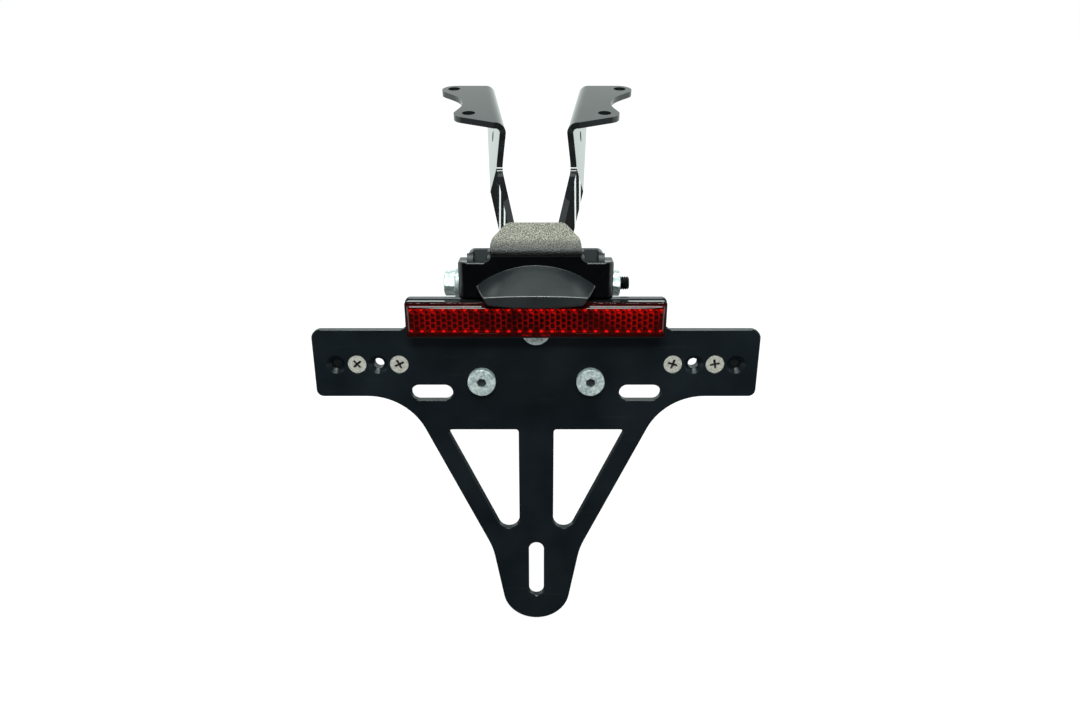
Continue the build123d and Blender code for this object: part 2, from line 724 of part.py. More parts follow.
# Hinge block: ears and front wall, raised rim, bay for the arms, pockets and the foot
collar = block_top_height - block_ledge_height
collar_half_width = cover_width / 2
foot_half = (lower_screw_spacing + foot_leg_width) / 2
arch_half = (lower_screw_spacing - foot_leg_width) / 2
bay_side = bay_width / 2
with BuildPart() as hinge_block:
    with BuildSketch(side):
        with Locations((block_front, block_seat_height)):
            Rectangle(
                block_front + block_ledge_depth,
                block_ledge_height - block_seat_height,
                align=(Align.MAX, Align.MIN),
            )
        with Locations(pivot_in_side):
            Circle(ear_boss_radius)
        make_hull()
    extrude(amount=ear_face, both=True)
    front_edges = hinge_block.edges().filter_by(upright).filter_by(
        lambda edge: face.to_local_coords(edge @ 0.5).Z > block_front / 2
    )
    fillet(front_edges, radius=block_edge_radius)
    with BuildSketch(face.offset(rim_front)):
        with BuildLine():
            FilletPolyline(
                (-rim_width / 2, block_seat_height),
                (-rim_width / 2, block_top_height),
                (rim_width / 2, block_top_height),
                (rim_width / 2, block_seat_height),
                radius=[rim_radius, rim_radius],
            )
            Line((rim_width / 2, block_seat_height), (-rim_width / 2, block_seat_height))
        make_face()
    extrude(amount=-rim_depth)
    with BuildSketch(side):
        with BuildLine():
            flare_foot = (rim_front + rim_flare, block_ledge_height)
            flare_top = (rim_front, block_ledge_height + rim_flare)
            RadiusArc(flare_foot, flare_top, rim_flare)
            Polyline(flare_top, (rim_front, block_ledge_height), flare_foot)
        make_face()
    extrude(amount=rim_width / 2, both=True)
    with BuildSketch(face.offset(block_front)):
        with BuildLine():
            RadiusArc(
                (-collar_half_width - collar, block_ledge_height),
                (-collar_half_width, block_top_height),
                -collar,
            )
            Line((-collar_half_width, block_top_height), (collar_half_width, block_top_height))
            RadiusArc(
                (collar_half_width, block_top_height),
                (collar_half_width + collar, block_ledge_height),
                -collar,
            )
            Line(
                (collar_half_width + collar, block_ledge_height),
                (-collar_half_width - collar, block_ledge_height),
            )
        make_face()
    extrude(amount=rim_front - block_front)
    with BuildSketch(face.offset(-plate_thickness)):
        with BuildLine():
            FilletPolyline(
                (foot_half, block_seat_height),
                (foot_half, -foot_drop),
                (arch_half, -foot_drop),
                (arch_half, -foot_arch_drop),
                (-arch_half, -foot_arch_drop),
                (-arch_half, -foot_drop),
                (-foot_half, -foot_drop),
                (-foot_half, block_seat_height),
                radius=[
                    foot_corner_radius,
                    foot_corner_radius,
                    foot_arch_radius,
                    foot_arch_radius,
                    foot_corner_radius,
                    foot_corner_radius,
                ],
            )
            Line((-foot_half, block_seat_height), (foot_half, block_seat_height))
        make_face()
    extrude(amount=-foot_thickness)
    for gusset_start in (-bay_side - gusset_thickness, bay_side):
        with BuildSketch(side.offset(gusset_start)):
            with BuildLine():
                Polyline(
                    (-foot_back, pivot_above_bar),
                    (-foot_back - gusset_depth, pivot_above_bar - ear_boss_radius),
                    (-foot_back, -gusset_drop),
                    close=True,
                )
            make_face()
        extrude(amount=gusset_thickness)
    with BuildSketch(side):
        with Locations((block_front, block_seat_height)):
            Rectangle(
                block_front + plate_thickness,
                block_seat_height + foot_drop,
                align=(Align.MAX, Align.MAX),
            )
    extrude(amount=ear_face, both=True, mode=Mode.SUBTRACT)
    with BuildSketch(side):
        with Locations((bay_front, -foot_drop)):
            Rectangle(
                pivot_behind_face + ear_boss_radius,
                foot_drop + block_top_height,
                align=(Align.MAX, Align.MIN),
            )
        with Locations((block_front - front_wall, roof_pocket_floor)):
            Rectangle(pivot_behind_face, block_top_height, align=(Align.MAX, Align.MIN))
    extrude(amount=bay_side, both=True, mode=Mode.SUBTRACT)
    with BuildSketch(level(block_top_height)):
        with Locations(
            (-(side_pocket_inner + side_pocket_outer) / 2, -(side_pocket_front + side_pocket_back) / 2),
            ((side_pocket_inner + side_pocket_outer) / 2, -(side_pocket_front + side_pocket_back) / 2),
        ):
            RectangleRounded(
                side_pocket_outer - side_pocket_inner,
                side_pocket_front - side_pocket_back,
                side_pocket_radius,
            )
    extrude(amount=side_pocket_floor - block_top_height, mode=Mode.SUBTRACT)
    with BuildSketch(axis_plane):
        Circle(bolt_bore)
    extrude(amount=ear_face, both=True, mode=Mode.SUBTRACT)
    with BuildSketch(axis_plane.offset(ear_face)):
        RegularPolygon(hex_across_flats / 2 + nut_recess_clearance, 6, major_radius=False)
    extrude(amount=-nut_recess_depth, mode=Mode.SUBTRACT)
    with BuildSketch(face):
        with Locations(*m6_holes):
            Circle(m6_bore)
    extrude(amount=-foot_back, mode=Mode.SUBTRACT)
    with BuildSketch(face.offset(block_front)):
        with Locations(*lamp_screw_places):
            Circle(lamp_screw_diameter / 2 + lamp_screw_clearance)
    extrude(amount=bay_front - block_front, mode=Mode.SUBTRACT)
    ledge_edges = hinge_block.edges().filter_by(
        lambda edge: abs(face.to_local_coords(edge @ 0.5).Z - block_front) < touch
        and face.to_local_coords(edge @ 0.5).Y > block_ledge_height - touch
    )
    fillet(ledge_edges, radius=ledge_edge_radius)
hinge_block.part.label = "hinge_block"
export_step(hinge_block.part, "parts/hinge_block.step")

# Hinge cover: a hollow cap with a sloped face and cut shoulders
cover_run = (cover_height - cover_lip) * tan(radians(cover_slope))
cover_top = block_top_height + cover_height
cover_back = block_front - cover_run - cover_ridge
cover_front_outline = [
    (cover_width / 2, block_top_height),
    (cover_width / 2, block_top_height + cover_shoulder_height),
    (cover_top_width / 2, cover_top),
    (-cover_top_width / 2, cover_top),
    (-cover_width / 2, block_top_height + cover_shoulder_height),
    (-cover_width / 2, block_top_height),
]
cover_side_outline = [
    (block_front, block_top_height),
    (block_front, block_top_height + cover_lip),
    (block_front - cover_run, cover_top),
    (cover_back, cover_top),
    (cover_back, block_top_height),
]
with BuildPart() as hinge_cover:
    with BuildSketch(face.offset(block_front)):
        with BuildLine():
            FilletPolyline(*cover_front_outline, radius=cover_corner_radius)
            Line(cover_front_outline[-1], cover_front_outline[0])
        make_face()
    extrude(amount=cover_back - block_front)
    with BuildSketch(side):
        with BuildLine():
            FilletPolyline(
                *cover_side_outline,
                radius=[cover_roll_radius, cover_edge_radius, cover_edge_radius],
            )
            Line(cover_side_outline[-1], cover_side_outline[0])
        make_face()
    extrude(amount=cover_width, both=True, mode=Mode.INTERSECT)
    offset(amount=-cover_wall, openings=hinge_cover.faces().sort_by(upright)[0])
hinge_cover.part.label = "hinge_cover"
export_step(hinge_cover.part, "parts/hinge_cover.step")

# Lamp: hood lofted from the block's wall to its lip, with lens, board and diodes underneath
hood_front = block_front + hood_reach
lamp_middle = -(hood_front - lamp_front_wall - lamp_length / 2)
cavity_roof = hood_lip_base_height + lamp_cavity_depth
with BuildPart() as lamp_hood:
    with BuildSketch(face.offset(block_front)):
        with BuildLine():
            ThreePointArc(
                (-hood_wall_width / 2, hood_shoulder_height),
                (0, hood_shoulder_height + hood_arch_rise),
                (hood_wall_width / 2, hood_shoulder_height),
            )
            Line((hood_wall_width / 2, hood_shoulder_height), (hood_base_width / 2, hood_base_height))
            Line((hood_base_width / 2, hood_base_height), (-hood_base_width / 2, hood_base_height))
            Line((-hood_base_width / 2, hood_base_height), (-hood_wall_width / 2, hood_shoulder_height))
        make_face()
    with BuildSketch(face.offset(hood_front)):
        with BuildLine():
            ThreePointArc(
                (-hood_lip_width / 2, hood_lip_height),
                (0, hood_lip_height + hood_lip_crown),
                (hood_lip_width / 2, hood_lip_height),
            )
            Line((hood_lip_width / 2, hood_lip_height), (hood_lip_base_width / 2, hood_lip_base_height))
            ThreePointArc(
                (hood_lip_base_width / 2, hood_lip_base_height),
                (0, hood_lip_base_height - hood_lip_sag),
                (-hood_lip_base_width / 2, hood_lip_base_height),
            )
            Line((-hood_lip_base_width / 2, hood_lip_base_height), (-hood_lip_width / 2, hood_lip_height))
        make_face()
    loft()
    fillet(
        lamp_hood.faces().sort_by(out_of_face)[-1].edges(),
        radius=hood_edge_radius,
    )
    with BuildSketch(level(cavity_roof)):
        with Locations((0, lamp_middle)):
            Rectangle(lamp_width, lamp_length)
    extrude(amount=-cavity_roof, mode=Mode.SUBTRACT)
    with BuildSketch(face.offset(block_front)):
        with Locations(*lamp_screw_places):
            Circle(lamp_screw_diameter / 2 + lamp_screw_clearance)
    extrude(amount=lamp_screw_bite, mode=Mode.SUBTRACT)
lamp_hood.part.label = "lamp_hood"
export_step(lamp_hood.part, "parts/lamp_hood.step")

with BuildPart() as lamp_lens:
    with BuildSketch(level(hood_lip_base_height + lamp_lens_recess)):
        with Locations((0, lamp_middle)):
            Rectangle(lamp_width - 2 * lamp_fit, lamp_length - 2 * lamp_fit)
    extrude(amount=lamp_lens_thickness)
lamp_lens.part.label = "lamp_lens"
export_step(lamp_lens.part, "parts/lamp_lens.step")

with BuildPart() as lamp_board:
    with BuildSketch(level(cavity_roof)):
        with Locations((0, lamp_middle)):
            Rectangle(lamp_width - 2 * lamp_board_fit, lamp_length - 2 * lamp_board_fit)
    extrude(amount=-lamp_board_thickness)
lamp_board.part.label = "lamp_board"
export_step(lamp_board.part, "parts/lamp_board.step")

with BuildPart() as lamp_leds:
    with BuildSketch(level(cavity_roof - lamp_board_thickness)):
        with Locations((0, lamp_middle)):
            with GridLocations(led_pitch, led_pitch, led_count, 1):
                Rectangle(led_size, led_size)
    extrude(amount=-led_height)
lamp_leds.part.label = "lamp_leds"
export_step(lamp_leds.part, "parts/lamp_leds.step")

with BuildPart() as lamp_screws:
    with BuildSketch(face.offset(bay_front)):
        with Locations(*lamp_screw_places):
            Circle(lamp_screw_head_diameter / 2)
    extrude(amount=-lamp_screw_head_height)
    with BuildSketch(face.offset(bay_front)):
        with Locations(*lamp_screw_places):
            Circle(lamp_screw_diameter / 2)
    extrude(amount=block_front - bay_front + lamp_screw_bite)
lamp_screws.part.label = "lamp_screws"
export_step(lamp_screws.part, "parts/lamp_screws.step")
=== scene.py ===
# Tail tidy for a motorbike: finishes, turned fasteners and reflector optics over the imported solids
import json
from math import pi, radians, sqrt

import bpy
import numpy as np
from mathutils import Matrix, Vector


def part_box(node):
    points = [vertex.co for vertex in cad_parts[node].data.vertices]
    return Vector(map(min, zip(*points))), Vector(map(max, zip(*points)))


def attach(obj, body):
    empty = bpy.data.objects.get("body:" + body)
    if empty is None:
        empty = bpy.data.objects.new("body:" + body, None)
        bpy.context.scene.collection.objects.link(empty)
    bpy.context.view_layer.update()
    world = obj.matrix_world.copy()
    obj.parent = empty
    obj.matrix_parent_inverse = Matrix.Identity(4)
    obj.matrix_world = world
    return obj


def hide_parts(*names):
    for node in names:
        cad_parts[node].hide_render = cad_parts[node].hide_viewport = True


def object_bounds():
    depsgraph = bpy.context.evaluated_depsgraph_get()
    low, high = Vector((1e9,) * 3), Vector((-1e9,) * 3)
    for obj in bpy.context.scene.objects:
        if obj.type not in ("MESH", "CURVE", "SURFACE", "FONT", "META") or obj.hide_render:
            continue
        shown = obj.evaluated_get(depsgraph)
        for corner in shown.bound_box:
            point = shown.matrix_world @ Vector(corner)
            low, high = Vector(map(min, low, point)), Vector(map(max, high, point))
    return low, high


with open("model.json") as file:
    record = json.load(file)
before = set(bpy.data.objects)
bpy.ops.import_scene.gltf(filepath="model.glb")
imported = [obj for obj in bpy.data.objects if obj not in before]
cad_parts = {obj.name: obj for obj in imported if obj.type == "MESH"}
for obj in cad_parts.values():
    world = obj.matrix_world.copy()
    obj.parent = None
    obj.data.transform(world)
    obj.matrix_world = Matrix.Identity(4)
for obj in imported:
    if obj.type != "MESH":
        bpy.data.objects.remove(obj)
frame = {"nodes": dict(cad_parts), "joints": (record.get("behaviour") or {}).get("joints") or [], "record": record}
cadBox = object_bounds()
nodes = frame["nodes"]
print("frame loaded with", len(nodes), "nodes")

# The holder's axes, read from the record: across the plate, up it and out of its front face
mountByName = {mount["name"]: mount for mount in frame["record"]["mounts"]}
pivot = np.array(frame["joints"][0]["pos_m"])
across = np.array([1.0, 0.0, 0.0])
outward = np.array(mountByName["nose_slot"]["axis"])
upward = np.cross(outward, across)
holderAxes = np.array([across, upward, outward])
layout = dict(pivotAboveBar=0.016, pivotBehindFace=0.017)
faceOrigin = pivot - layout["pivotAboveBar"] * upward + layout["pivotBehindFace"] * outward


def onHolder(points):
    # a point in the frame = the face's origin + across * x + upward * y + outward * z
    return faceOrigin + np.asarray(points) @ holderAxes


def holderPoints(nodeName):
    # a node's vertices as rows of across, up and out of the face
    mesh = nodes[nodeName].data
    flat = np.empty(3 * len(mesh.vertices), np.float32)
    mesh.vertices.foreach_get("co", flat)
    return (flat.reshape(-1, 3) - faceOrigin) @ holderAxes.T


def holderBox(nodeName):
    local = holderPoints(nodeName)
    return local.min(axis=0), local.max(axis=0)


def screwSeats(nodeName, gap=0.003):
    # the screws of a node stand apart across the plate, so each gap in x starts the next one
    local = holderPoints(nodeName)
    local = local[np.argsort(local[:, 0])]
    groups = np.split(local, np.where(np.diff(local[:, 0]) > gap)[0] + 1)
    middles = [(group.min(axis=0) + group.max(axis=0)) / 2 for group in groups]
    return onHolder([(middle[0], middle[1], 0.0) for middle in middles])


# Shader helpers: a node is made and wired in one call, and most return the socket to go on from
def setSockets(tree, node, sockets):
    for key, value in sockets.items():
        if isinstance(value, bpy.types.NodeSocket):
            tree.links.new(value, node.inputs[key])
        else:
            node.inputs[key].default_value = value


def addNode(tree, kind, sockets=None, **settings):
    node = tree.nodes.new("ShaderNode" + kind)
    for key, value in settings.items():
        setattr(node, key, value)
    setSockets(tree, node, sockets or {})
    return node


def mathNode(tree, operation, *values):
    return addNode(tree, "Math", dict(enumerate(values)), operation=operation).outputs[0]


def times(tree, first, second):
    return mathNode(tree, "MULTIPLY", first, second)


def larger(tree, first, second):
    return mathNode(tree, "MAXIMUM", first, second)


def dotProduct(tree, vector, axis):
    sockets = {0: vector, 1: tuple(axis)}
    return addNode(tree, "VectorMath", sockets, operation="DOT_PRODUCT").outputs["Value"]


def scaled(tree, vector, factor):
    return addNode(tree, "VectorMath", {0: vector, "Scale": factor}, operation="SCALE").outputs[0]


def mixColour(tree, factor, first, second):
    # sockets 0, 6 and 7 of the Mix node are the factor and the two colours, and 2 is the mixed colour
    return addNode(tree, "Mix", {0: factor, 6: first, 7: second}, data_type="RGBA").outputs[2]


def twoTone(tree, factor, finish):
    return mixColour(tree, factor, opaque(finish["dark"]), opaque(finish["light"]))


def remap(tree, value, low, high, newLow, newHigh):
    sockets = {"Value": value, "From Min": low, "From Max": high, "To Min": newLow, "To Max": newHigh}
    return addNode(tree, "MapRange", sockets).outputs["Result"]


def noise(tree, place, scale, detail):
    return addNode(tree, "TexNoise", {"Vector": place, "Scale": scale, "Detail": detail}).outputs[0]


def opaque(colour):
    return (*colour, 1.0)


def startGroup(name, inputs, outputs):
    # inputs are rows of label, kind and default, and each output is a plain value
    tree = bpy.data.node_groups.new(name, "ShaderNodeTree")
    for label, kind, default in inputs:
        socket = tree.interface.new_socket(name=label, in_out="INPUT", socket_type="NodeSocket" + kind)
        if default is not None:
            socket.default_value = default
    for label in outputs:
        tree.interface.new_socket(name=label, in_out="OUTPUT", socket_type="NodeSocketFloat")
    given = tree.nodes.new("NodeGroupInput").outputs
    result = tree.nodes.new("NodeGroupOutput").inputs
    return tree, given, result


def useGroup(tree, group, sockets):
    node = tree.nodes.new("ShaderNodeGroup")
    node.node_tree = group
    setSockets(tree, node, sockets)
    return node.outputs


# Shared effects as shader groups, each with the ranges of its noises beside it
coatMix = dict(
    peelDetail=3.0, peelRange=(0.35, 0.65), peelShare=0.15,
    mottleDetail=5.0, mottleRange=(0.32, 0.68), mottleShare=0.85,
)


def makeCoatGrain():
    # fine orange peel for the height, and a slow mottle with a little of the peel for the tone
    tree, given, result = startGroup(
        "coatGrain",
        [("Vector", "Vector", None), ("Peel scale", "Float", 1500.0), ("Mottle scale", "Float", 45.0)],
        ["Height", "Tone"],
    )
    peel = noise(tree, given["Vector"], given["Peel scale"], coatMix["peelDetail"])
    mottle = noise(tree, given["Vector"], given["Mottle scale"], coatMix["mottleDetail"])
    slow = remap(tree, mottle, *coatMix["mottleRange"], 0.0, coatMix["mottleShare"])
    quick = remap(tree, peel, *coatMix["peelRange"], 0.0, coatMix["peelShare"])
    tree.links.new(peel, result["Height"])
    tree.links.new(mathNode(tree, "ADD", slow, quick), result["Tone"])
    return tree


dustMix = dict(speckHeart=0.02, patchDetail=4.0, patchFull=0.75)


def makeDustFall():
    # small round specks from Voronoi cells, thinned by a slow noise so that they gather in patches
    tree, given, result = startGroup(
        "dustFall",
        [("Vector", "Vector", None), ("Speck scale", "Float", 900.0), ("Speck size", "Float", 0.14),
         ("Patch scale", "Float", 60.0), ("Bareness", "Float", 0.5)],
        ["Mask"],
    )
    cells = addNode(tree, "TexVoronoi", {"Vector": given["Vector"], "Scale": given["Speck scale"]})
    speck = remap(tree, cells.outputs["Distance"], given["Speck size"], dustMix["speckHeart"], 0.0, 1.0)
    patch = noise(tree, given["Vector"], given["Patch scale"], dustMix["patchDetail"])
    gathered = remap(tree, patch, given["Bareness"], dustMix["patchFull"], 0.0, 1.0)
    tree.links.new(times(tree, speck, gathered), result["Mask"])
    return tree


rubMix = dict(turn=(0.0, 0.0, 0.5), stretch=(30.0, 900.0, 900.0), detail=2.0, full=0.8)


def makeRubMarks():
    # thin rubbed lines: noise stretched along one turned axis and cut off high
    tree, given, result = startGroup(
        "rubMarks",
        [("Vector", "Vector", None), ("Turn", "Vector", rubMix["turn"]),
         ("Stretch", "Vector", rubMix["stretch"]), ("Level", "Float", 0.66)],
        ["Mask"],
    )
    sockets = {"Vector": given["Vector"], "Rotation": given["Turn"], "Scale": given["Stretch"]}
    turned = addNode(tree, "Mapping", sockets).outputs[0]
    streak = noise(tree, turned, 1.0, rubMix["detail"])
    tree.links.new(remap(tree, streak, given["Level"], rubMix["full"], 0.0, 1.0), result["Mask"])
    return tree


pebbleMix = dict(smoothness=0.6, detail=4.0, domeRange=(0.1, 0.8), toneRange=(0.7, 1.5))


def makePebble():
    # moulded pebble grain: rounded Voronoi lumps broken up by noise; the tone follows the height, as painted shade
    # in the pits and painted light on the lumps
    tree, given, result = startGroup(
        "pebble", [("Vector", "Vector", None), ("Scale", "Float", 1500.0)], ["Height", "Tone"]
    )
    sockets = {"Vector": given["Vector"], "Scale": given["Scale"], "Smoothness": pebbleMix["smoothness"]}
    lumps = addNode(tree, "TexVoronoi", sockets, feature="SMOOTH_F1").outputs["Distance"]
    finer = noise(tree, given["Vector"], given["Scale"], pebbleMix["detail"])
    domes = remap(tree, lumps, *pebbleMix["domeRange"], 1.0, 0.0)
    height = mathNode(tree, "ADD", domes, finer)
    tree.links.new(height, result["Height"])
    tree.links.new(remap(tree, height, *pebbleMix["toneRange"], 0.0, 1.0), result["Tone"])
    return tree


bloomMix = dict(detail=5.0, toneRange=(0.05, 0.6))


def makePlatingBloom():
    # zinc bloom: flat crystal patches of random tone, softened by noise
    tree, given, result = startGroup(
        "platingBloom", [("Vector", "Vector", None), ("Scale", "Float", 900.0)], ["Tone"]
    )
    cells = addNode(tree, "TexVoronoi", {"Vector": given["Vector"], "Scale": given["Scale"]})
    cloud = noise(tree, given["Vector"], given["Scale"], bloomMix["detail"])
    picked = addNode(tree, "SeparateColor", {"Color": cells.outputs["Color"]}).outputs[0]
    tone = remap(tree, times(tree, picked, cloud), *bloomMix["toneRange"], 0.0, 1.0)
    tree.links.new(tone, result["Tone"])
    return tree


coatGrain = makeCoatGrain()
dustFall = makeDustFall()
rubMarks = makeRubMarks()
pebble = makePebble()
platingBloom = makePlatingBloom()
print("shared shader groups ready")


def emptyTree(owner):
    owner.use_nodes = True
    owner.node_tree.nodes.clear()
    return owner.node_tree


def startMaterial(name):
    material = bpy.data.materials.new(name)
    tree = emptyTree(material)
    shader = addNode(tree, "BsdfPrincipled")
    addNode(tree, "OutputMaterial", {"Surface": shader.outputs[0]})
    place = addNode(tree, "TexCoord").outputs["Object"]
    return material, tree, shader, place


def alongHolder(tree, place, axis):
    # distance from the face's origin along one of the holder's axes
    return mathNode(tree, "SUBTRACT", dotProduct(tree, place, axis), float(faceOrigin @ axis))


def addBump(tree, shader, height, finish):
    sockets = {"Strength": finish["strength"], "Distance": finish["depth"], "Height": height}
    bump = addNode(tree, "Bump", sockets)
    tree.links.new(bump.outputs[0], shader.inputs["Normal"])


# Powder coat: a dark mottled colour with orange peel, dust in patches and rubbed lines
armFinish = dict(
    name="armCoat", dark=(0.010, 0.0105, 0.012), light=(0.018, 0.019, 0.021),
    rough=(0.004, 0.012), specular=0.5, scale=1300.0, depth=0.00003, strength=0.003,
    dust=(0.30, 0.31, 0.32), bareness=0.60, rubLevel=0.70,
)
plateFinish = dict(
    name="plateCoat", dark=(0.0030, 0.0056, 0.0080), light=(0.0072, 0.0114, 0.0148),
    rough=(0.36, 0.46), specular=0.24, scale=1900.0, depth=0.00003, strength=0.16,
    dust=(0.16, 0.17, 0.18), bareness=0.50, rubLevel=0.67, cutRough=0.22, cutLean=(0.80, 0.95),
)
bracketFinish = dict(
    name="bracketCoat", dark=(0.008, 0.009, 0.011), light=(0.014, 0.015, 0.018),
    rough=(0.32, 0.42), specular=0.35, scale=1700.0, depth=0.00003, strength=0.14,
    dust=(0.20, 0.20, 0.21), bareness=0.58, rubLevel=0.70,
)
coatMarks = dict(dustShare=0.55, rubShare=0.05)


def powderCoat(finish):
    material, tree, shader, place = startMaterial(finish["name"])
    grain = useGroup(tree, coatGrain, {"Vector": place, "Peel scale": finish["scale"]})
    specks = useGroup(tree, dustFall, {"Vector": place, "Bareness": finish["bareness"]})
    rubs = useGroup(tree, rubMarks, {"Vector": place, "Level": finish["rubLevel"]})
    tint = twoTone(tree, grain["Tone"], finish)
    dusty = times(tree, specks["Mask"], coatMarks["dustShare"])
    rubbed = times(tree, rubs["Mask"], coatMarks["rubShare"])
    colour = mixColour(tree, larger(tree, dusty, rubbed), tint, opaque(finish["dust"]))
    roughness = remap(tree, grain["Tone"], 0.0, 1.0, *finish["rough"])
    if "cutRough" in finish:
        # cut walls and countersinks lean away from the plate's face, and are smoother than the face
        facet = addNode(tree, "NewGeometry").outputs["True Normal"]
        facing = mathNode(tree, "ABSOLUTE", dotProduct(tree, facet, outward))
        roughness = remap(tree, facing, *finish["cutLean"], finish["cutRough"], roughness)
    setSockets(tree, shader, {
        "Base Color": colour,
        "Roughness": roughness,
        "Specular IOR Level": finish["specular"],
    })
    addBump(tree, shader, grain["Height"], finish)
    return material


# Moulded plastics and other fine-grained finishes, from the polished block to the foam pad
blockFinish = dict(
    name="blockPlastic", dark=(0.0012, 0.0014, 0.0017), light=(0.0026, 0.0029, 0.0034),
    rough=(0.10, 0.17), specular=0.40, scale=700.0, depth=0.00002, strength=0.05,
    # the pocket tone is painted light on the pockets' inner walls
    pocket=dict(tone=(0.050, 0.055, 0.057), behind=(-0.0012, -0.0030), above=(0.018, 0.021), rough=0.45),
    seam=dict(reach=0.0006, fade=0.0002, rough=0.95),
)
hoodFinish = dict(
    name="hoodPlastic", dark=(0.012, 0.0145, 0.016), light=(0.021, 0.024, 0.026),
    rough=(0.27, 0.34), specular=0.8, scale=2400.0, depth=0.00002, strength=0.12,
)
trayFinish = dict(
    name="reflectorTray", dark=(0.006, 0.006, 0.007), light=(0.012, 0.012, 0.013),
    rough=(0.06, 0.10), specular=1.0, scale=900.0, depth=0.00002, strength=0.05,
)
borderFinish = dict(
    name="lensBorder", dark=(0.030, 0.0010, 0.0010), light=(0.050, 0.0018, 0.0018),
    rough=(0.05, 0.09), specular=0.5, scale=900.0, depth=0.00002, strength=0.02,
)
foamFinish = dict(
    name="foamPad", dark=(0.012, 0.012, 0.013), light=(0.030, 0.030, 0.031),
    rough=(0.85, 0.95), specular=0.2, scale=2600.0, depth=0.00010, strength=0.60,
)
screwBlackFinish = dict(
    name="blackSteel", dark=(0.010, 0.010, 0.011), light=(0.022, 0.022, 0.024),
    rough=(0.30, 0.42), specular=0.5, scale=1500.0, depth=0.00002, strength=0.10,
)
boardFinish = dict(
    name="boardLacquer", dark=(0.010, 0.070, 0.030), light=(0.020, 0.110, 0.050),
    rough=(0.25, 0.35), specular=0.5, scale=1100.0, depth=0.00002, strength=0.10,
)
mouldMarks = dict(
    mottleScale=90.0, speckScale=700.0, bareness=0.62, dustShare=0.35, dust=(0.25, 0.25, 0.26),
)


def pocketLightAndSatinMask(tree, place, pocket):
    # one behind the front wall and above the pockets' floor, and zero elsewhere: where the pockets get painted
    # light and satin
    behind = remap(tree, alongHolder(tree, place, outward), *pocket["behind"], 0.0, 1.0)
    above = remap(tree, alongHolder(tree, place, upward), *pocket["above"], 0.0, 1.0)
    return times(tree, behind, above)


def seamMask(tree, place, seam):
    # one in a band about the height of the cover's lower edge, no wider than the cover
    coverLow, coverHigh = holderBox("hinge_cover")
    seamHeight, halfWidth = float(coverLow[1]), float(coverHigh[0])
    level = mathNode(tree, "COMPARE", alongHolder(tree, place, upward), seamHeight, seam["reach"])
    offMiddle = mathNode(tree, "ABSOLUTE", alongHolder(tree, place, across))
    between = remap(tree, offMiddle, halfWidth, halfWidth - seam["fade"], 0.0, 1.0)
    return times(tree, level, between)


def mouldedPlastic(finish):
    material, tree, shader, place = startMaterial(finish["name"])
    grain = useGroup(
        tree, coatGrain,
        {"Vector": place, "Peel scale": finish["scale"], "Mottle scale": mouldMarks["mottleScale"]},
    )
    specks = useGroup(
        tree, dustFall,
        {"Vector": place, "Speck scale": mouldMarks["speckScale"], "Bareness": mouldMarks["bareness"]},
    )
    tint = twoTone(tree, grain["Tone"], finish)
    dusty = times(tree, specks["Mask"], mouldMarks["dustShare"])
    colour = mixColour(tree, dusty, tint, opaque(mouldMarks["dust"]))
    roughness = remap(tree, grain["Tone"], 0.0, 1.0, *finish["rough"])
    if "pocket" in finish:
        # the pockets keep the mould's satin and get painted light, a paler tone than the polished wall, and the
        # seam is matt
        inside = pocketLightAndSatinMask(tree, place, finish["pocket"])
        colour = mixColour(tree, inside, colour, opaque(finish["pocket"]["tone"]))
        roughness = remap(tree, inside, 0.0, 1.0, roughness, finish["pocket"]["rough"])
        onSeam = seamMask(tree, place, finish["seam"])
        roughness = remap(tree, onSeam, 0.0, 1.0, roughness, finish["seam"]["rough"])
    setSockets(tree, shader, {
        "Base Color": colour,
        "Roughness": roughness,
        "Specular IOR Level": finish["specular"],
    })
    addBump(tree, shader, grain["Height"], finish)
    return material


# Pebbled cover, with painted shade down its skirt
coverFinish = dict(
    pitShade=(0.075, 0.068, 0.050), top=(0.425, 0.396, 0.308), rough=(0.30, 0.46), specular=0.6,
    scale=2100.0, depth=0.00012, strength=0.80, skirtShadeTone=0.12, skirtShadeHeight=0.0064, skirtShadePower=3.0,
)


def grainedCover():
    # the skirt's painted shade is a power of the height over the lower edge, so it is near black at the block
    material, tree, shader, place = startMaterial("coverGrain")
    lumps = useGroup(tree, pebble, {"Vector": place, "Scale": coverFinish["scale"]})
    # the pit tone and the top tone are painted shade in the pits and painted light on the lumps
    grain = mixColour(tree, lumps["Tone"], opaque(coverFinish["pitShade"]), opaque(coverFinish["top"]))
    lowest = float(holderBox("hinge_cover")[0][1])
    rise = alongHolder(tree, place, upward)
    skirtShadeRamp = remap(tree, rise, lowest, lowest + coverFinish["skirtShadeHeight"], coverFinish["skirtShadeTone"], 1.0)
    fade = mathNode(tree, "POWER", skirtShadeRamp, coverFinish["skirtShadePower"])
    topRough, pitRough = coverFinish["rough"]
    setSockets(tree, shader, {
        "Base Color": scaled(tree, grain, fade),
        "Roughness": remap(tree, lumps["Tone"], 0.0, 1.0, pitRough, topRough),
        "Specular IOR Level": coverFinish["specular"],
    })
    addBump(tree, shader, lumps["Height"], coverFinish)
    return material


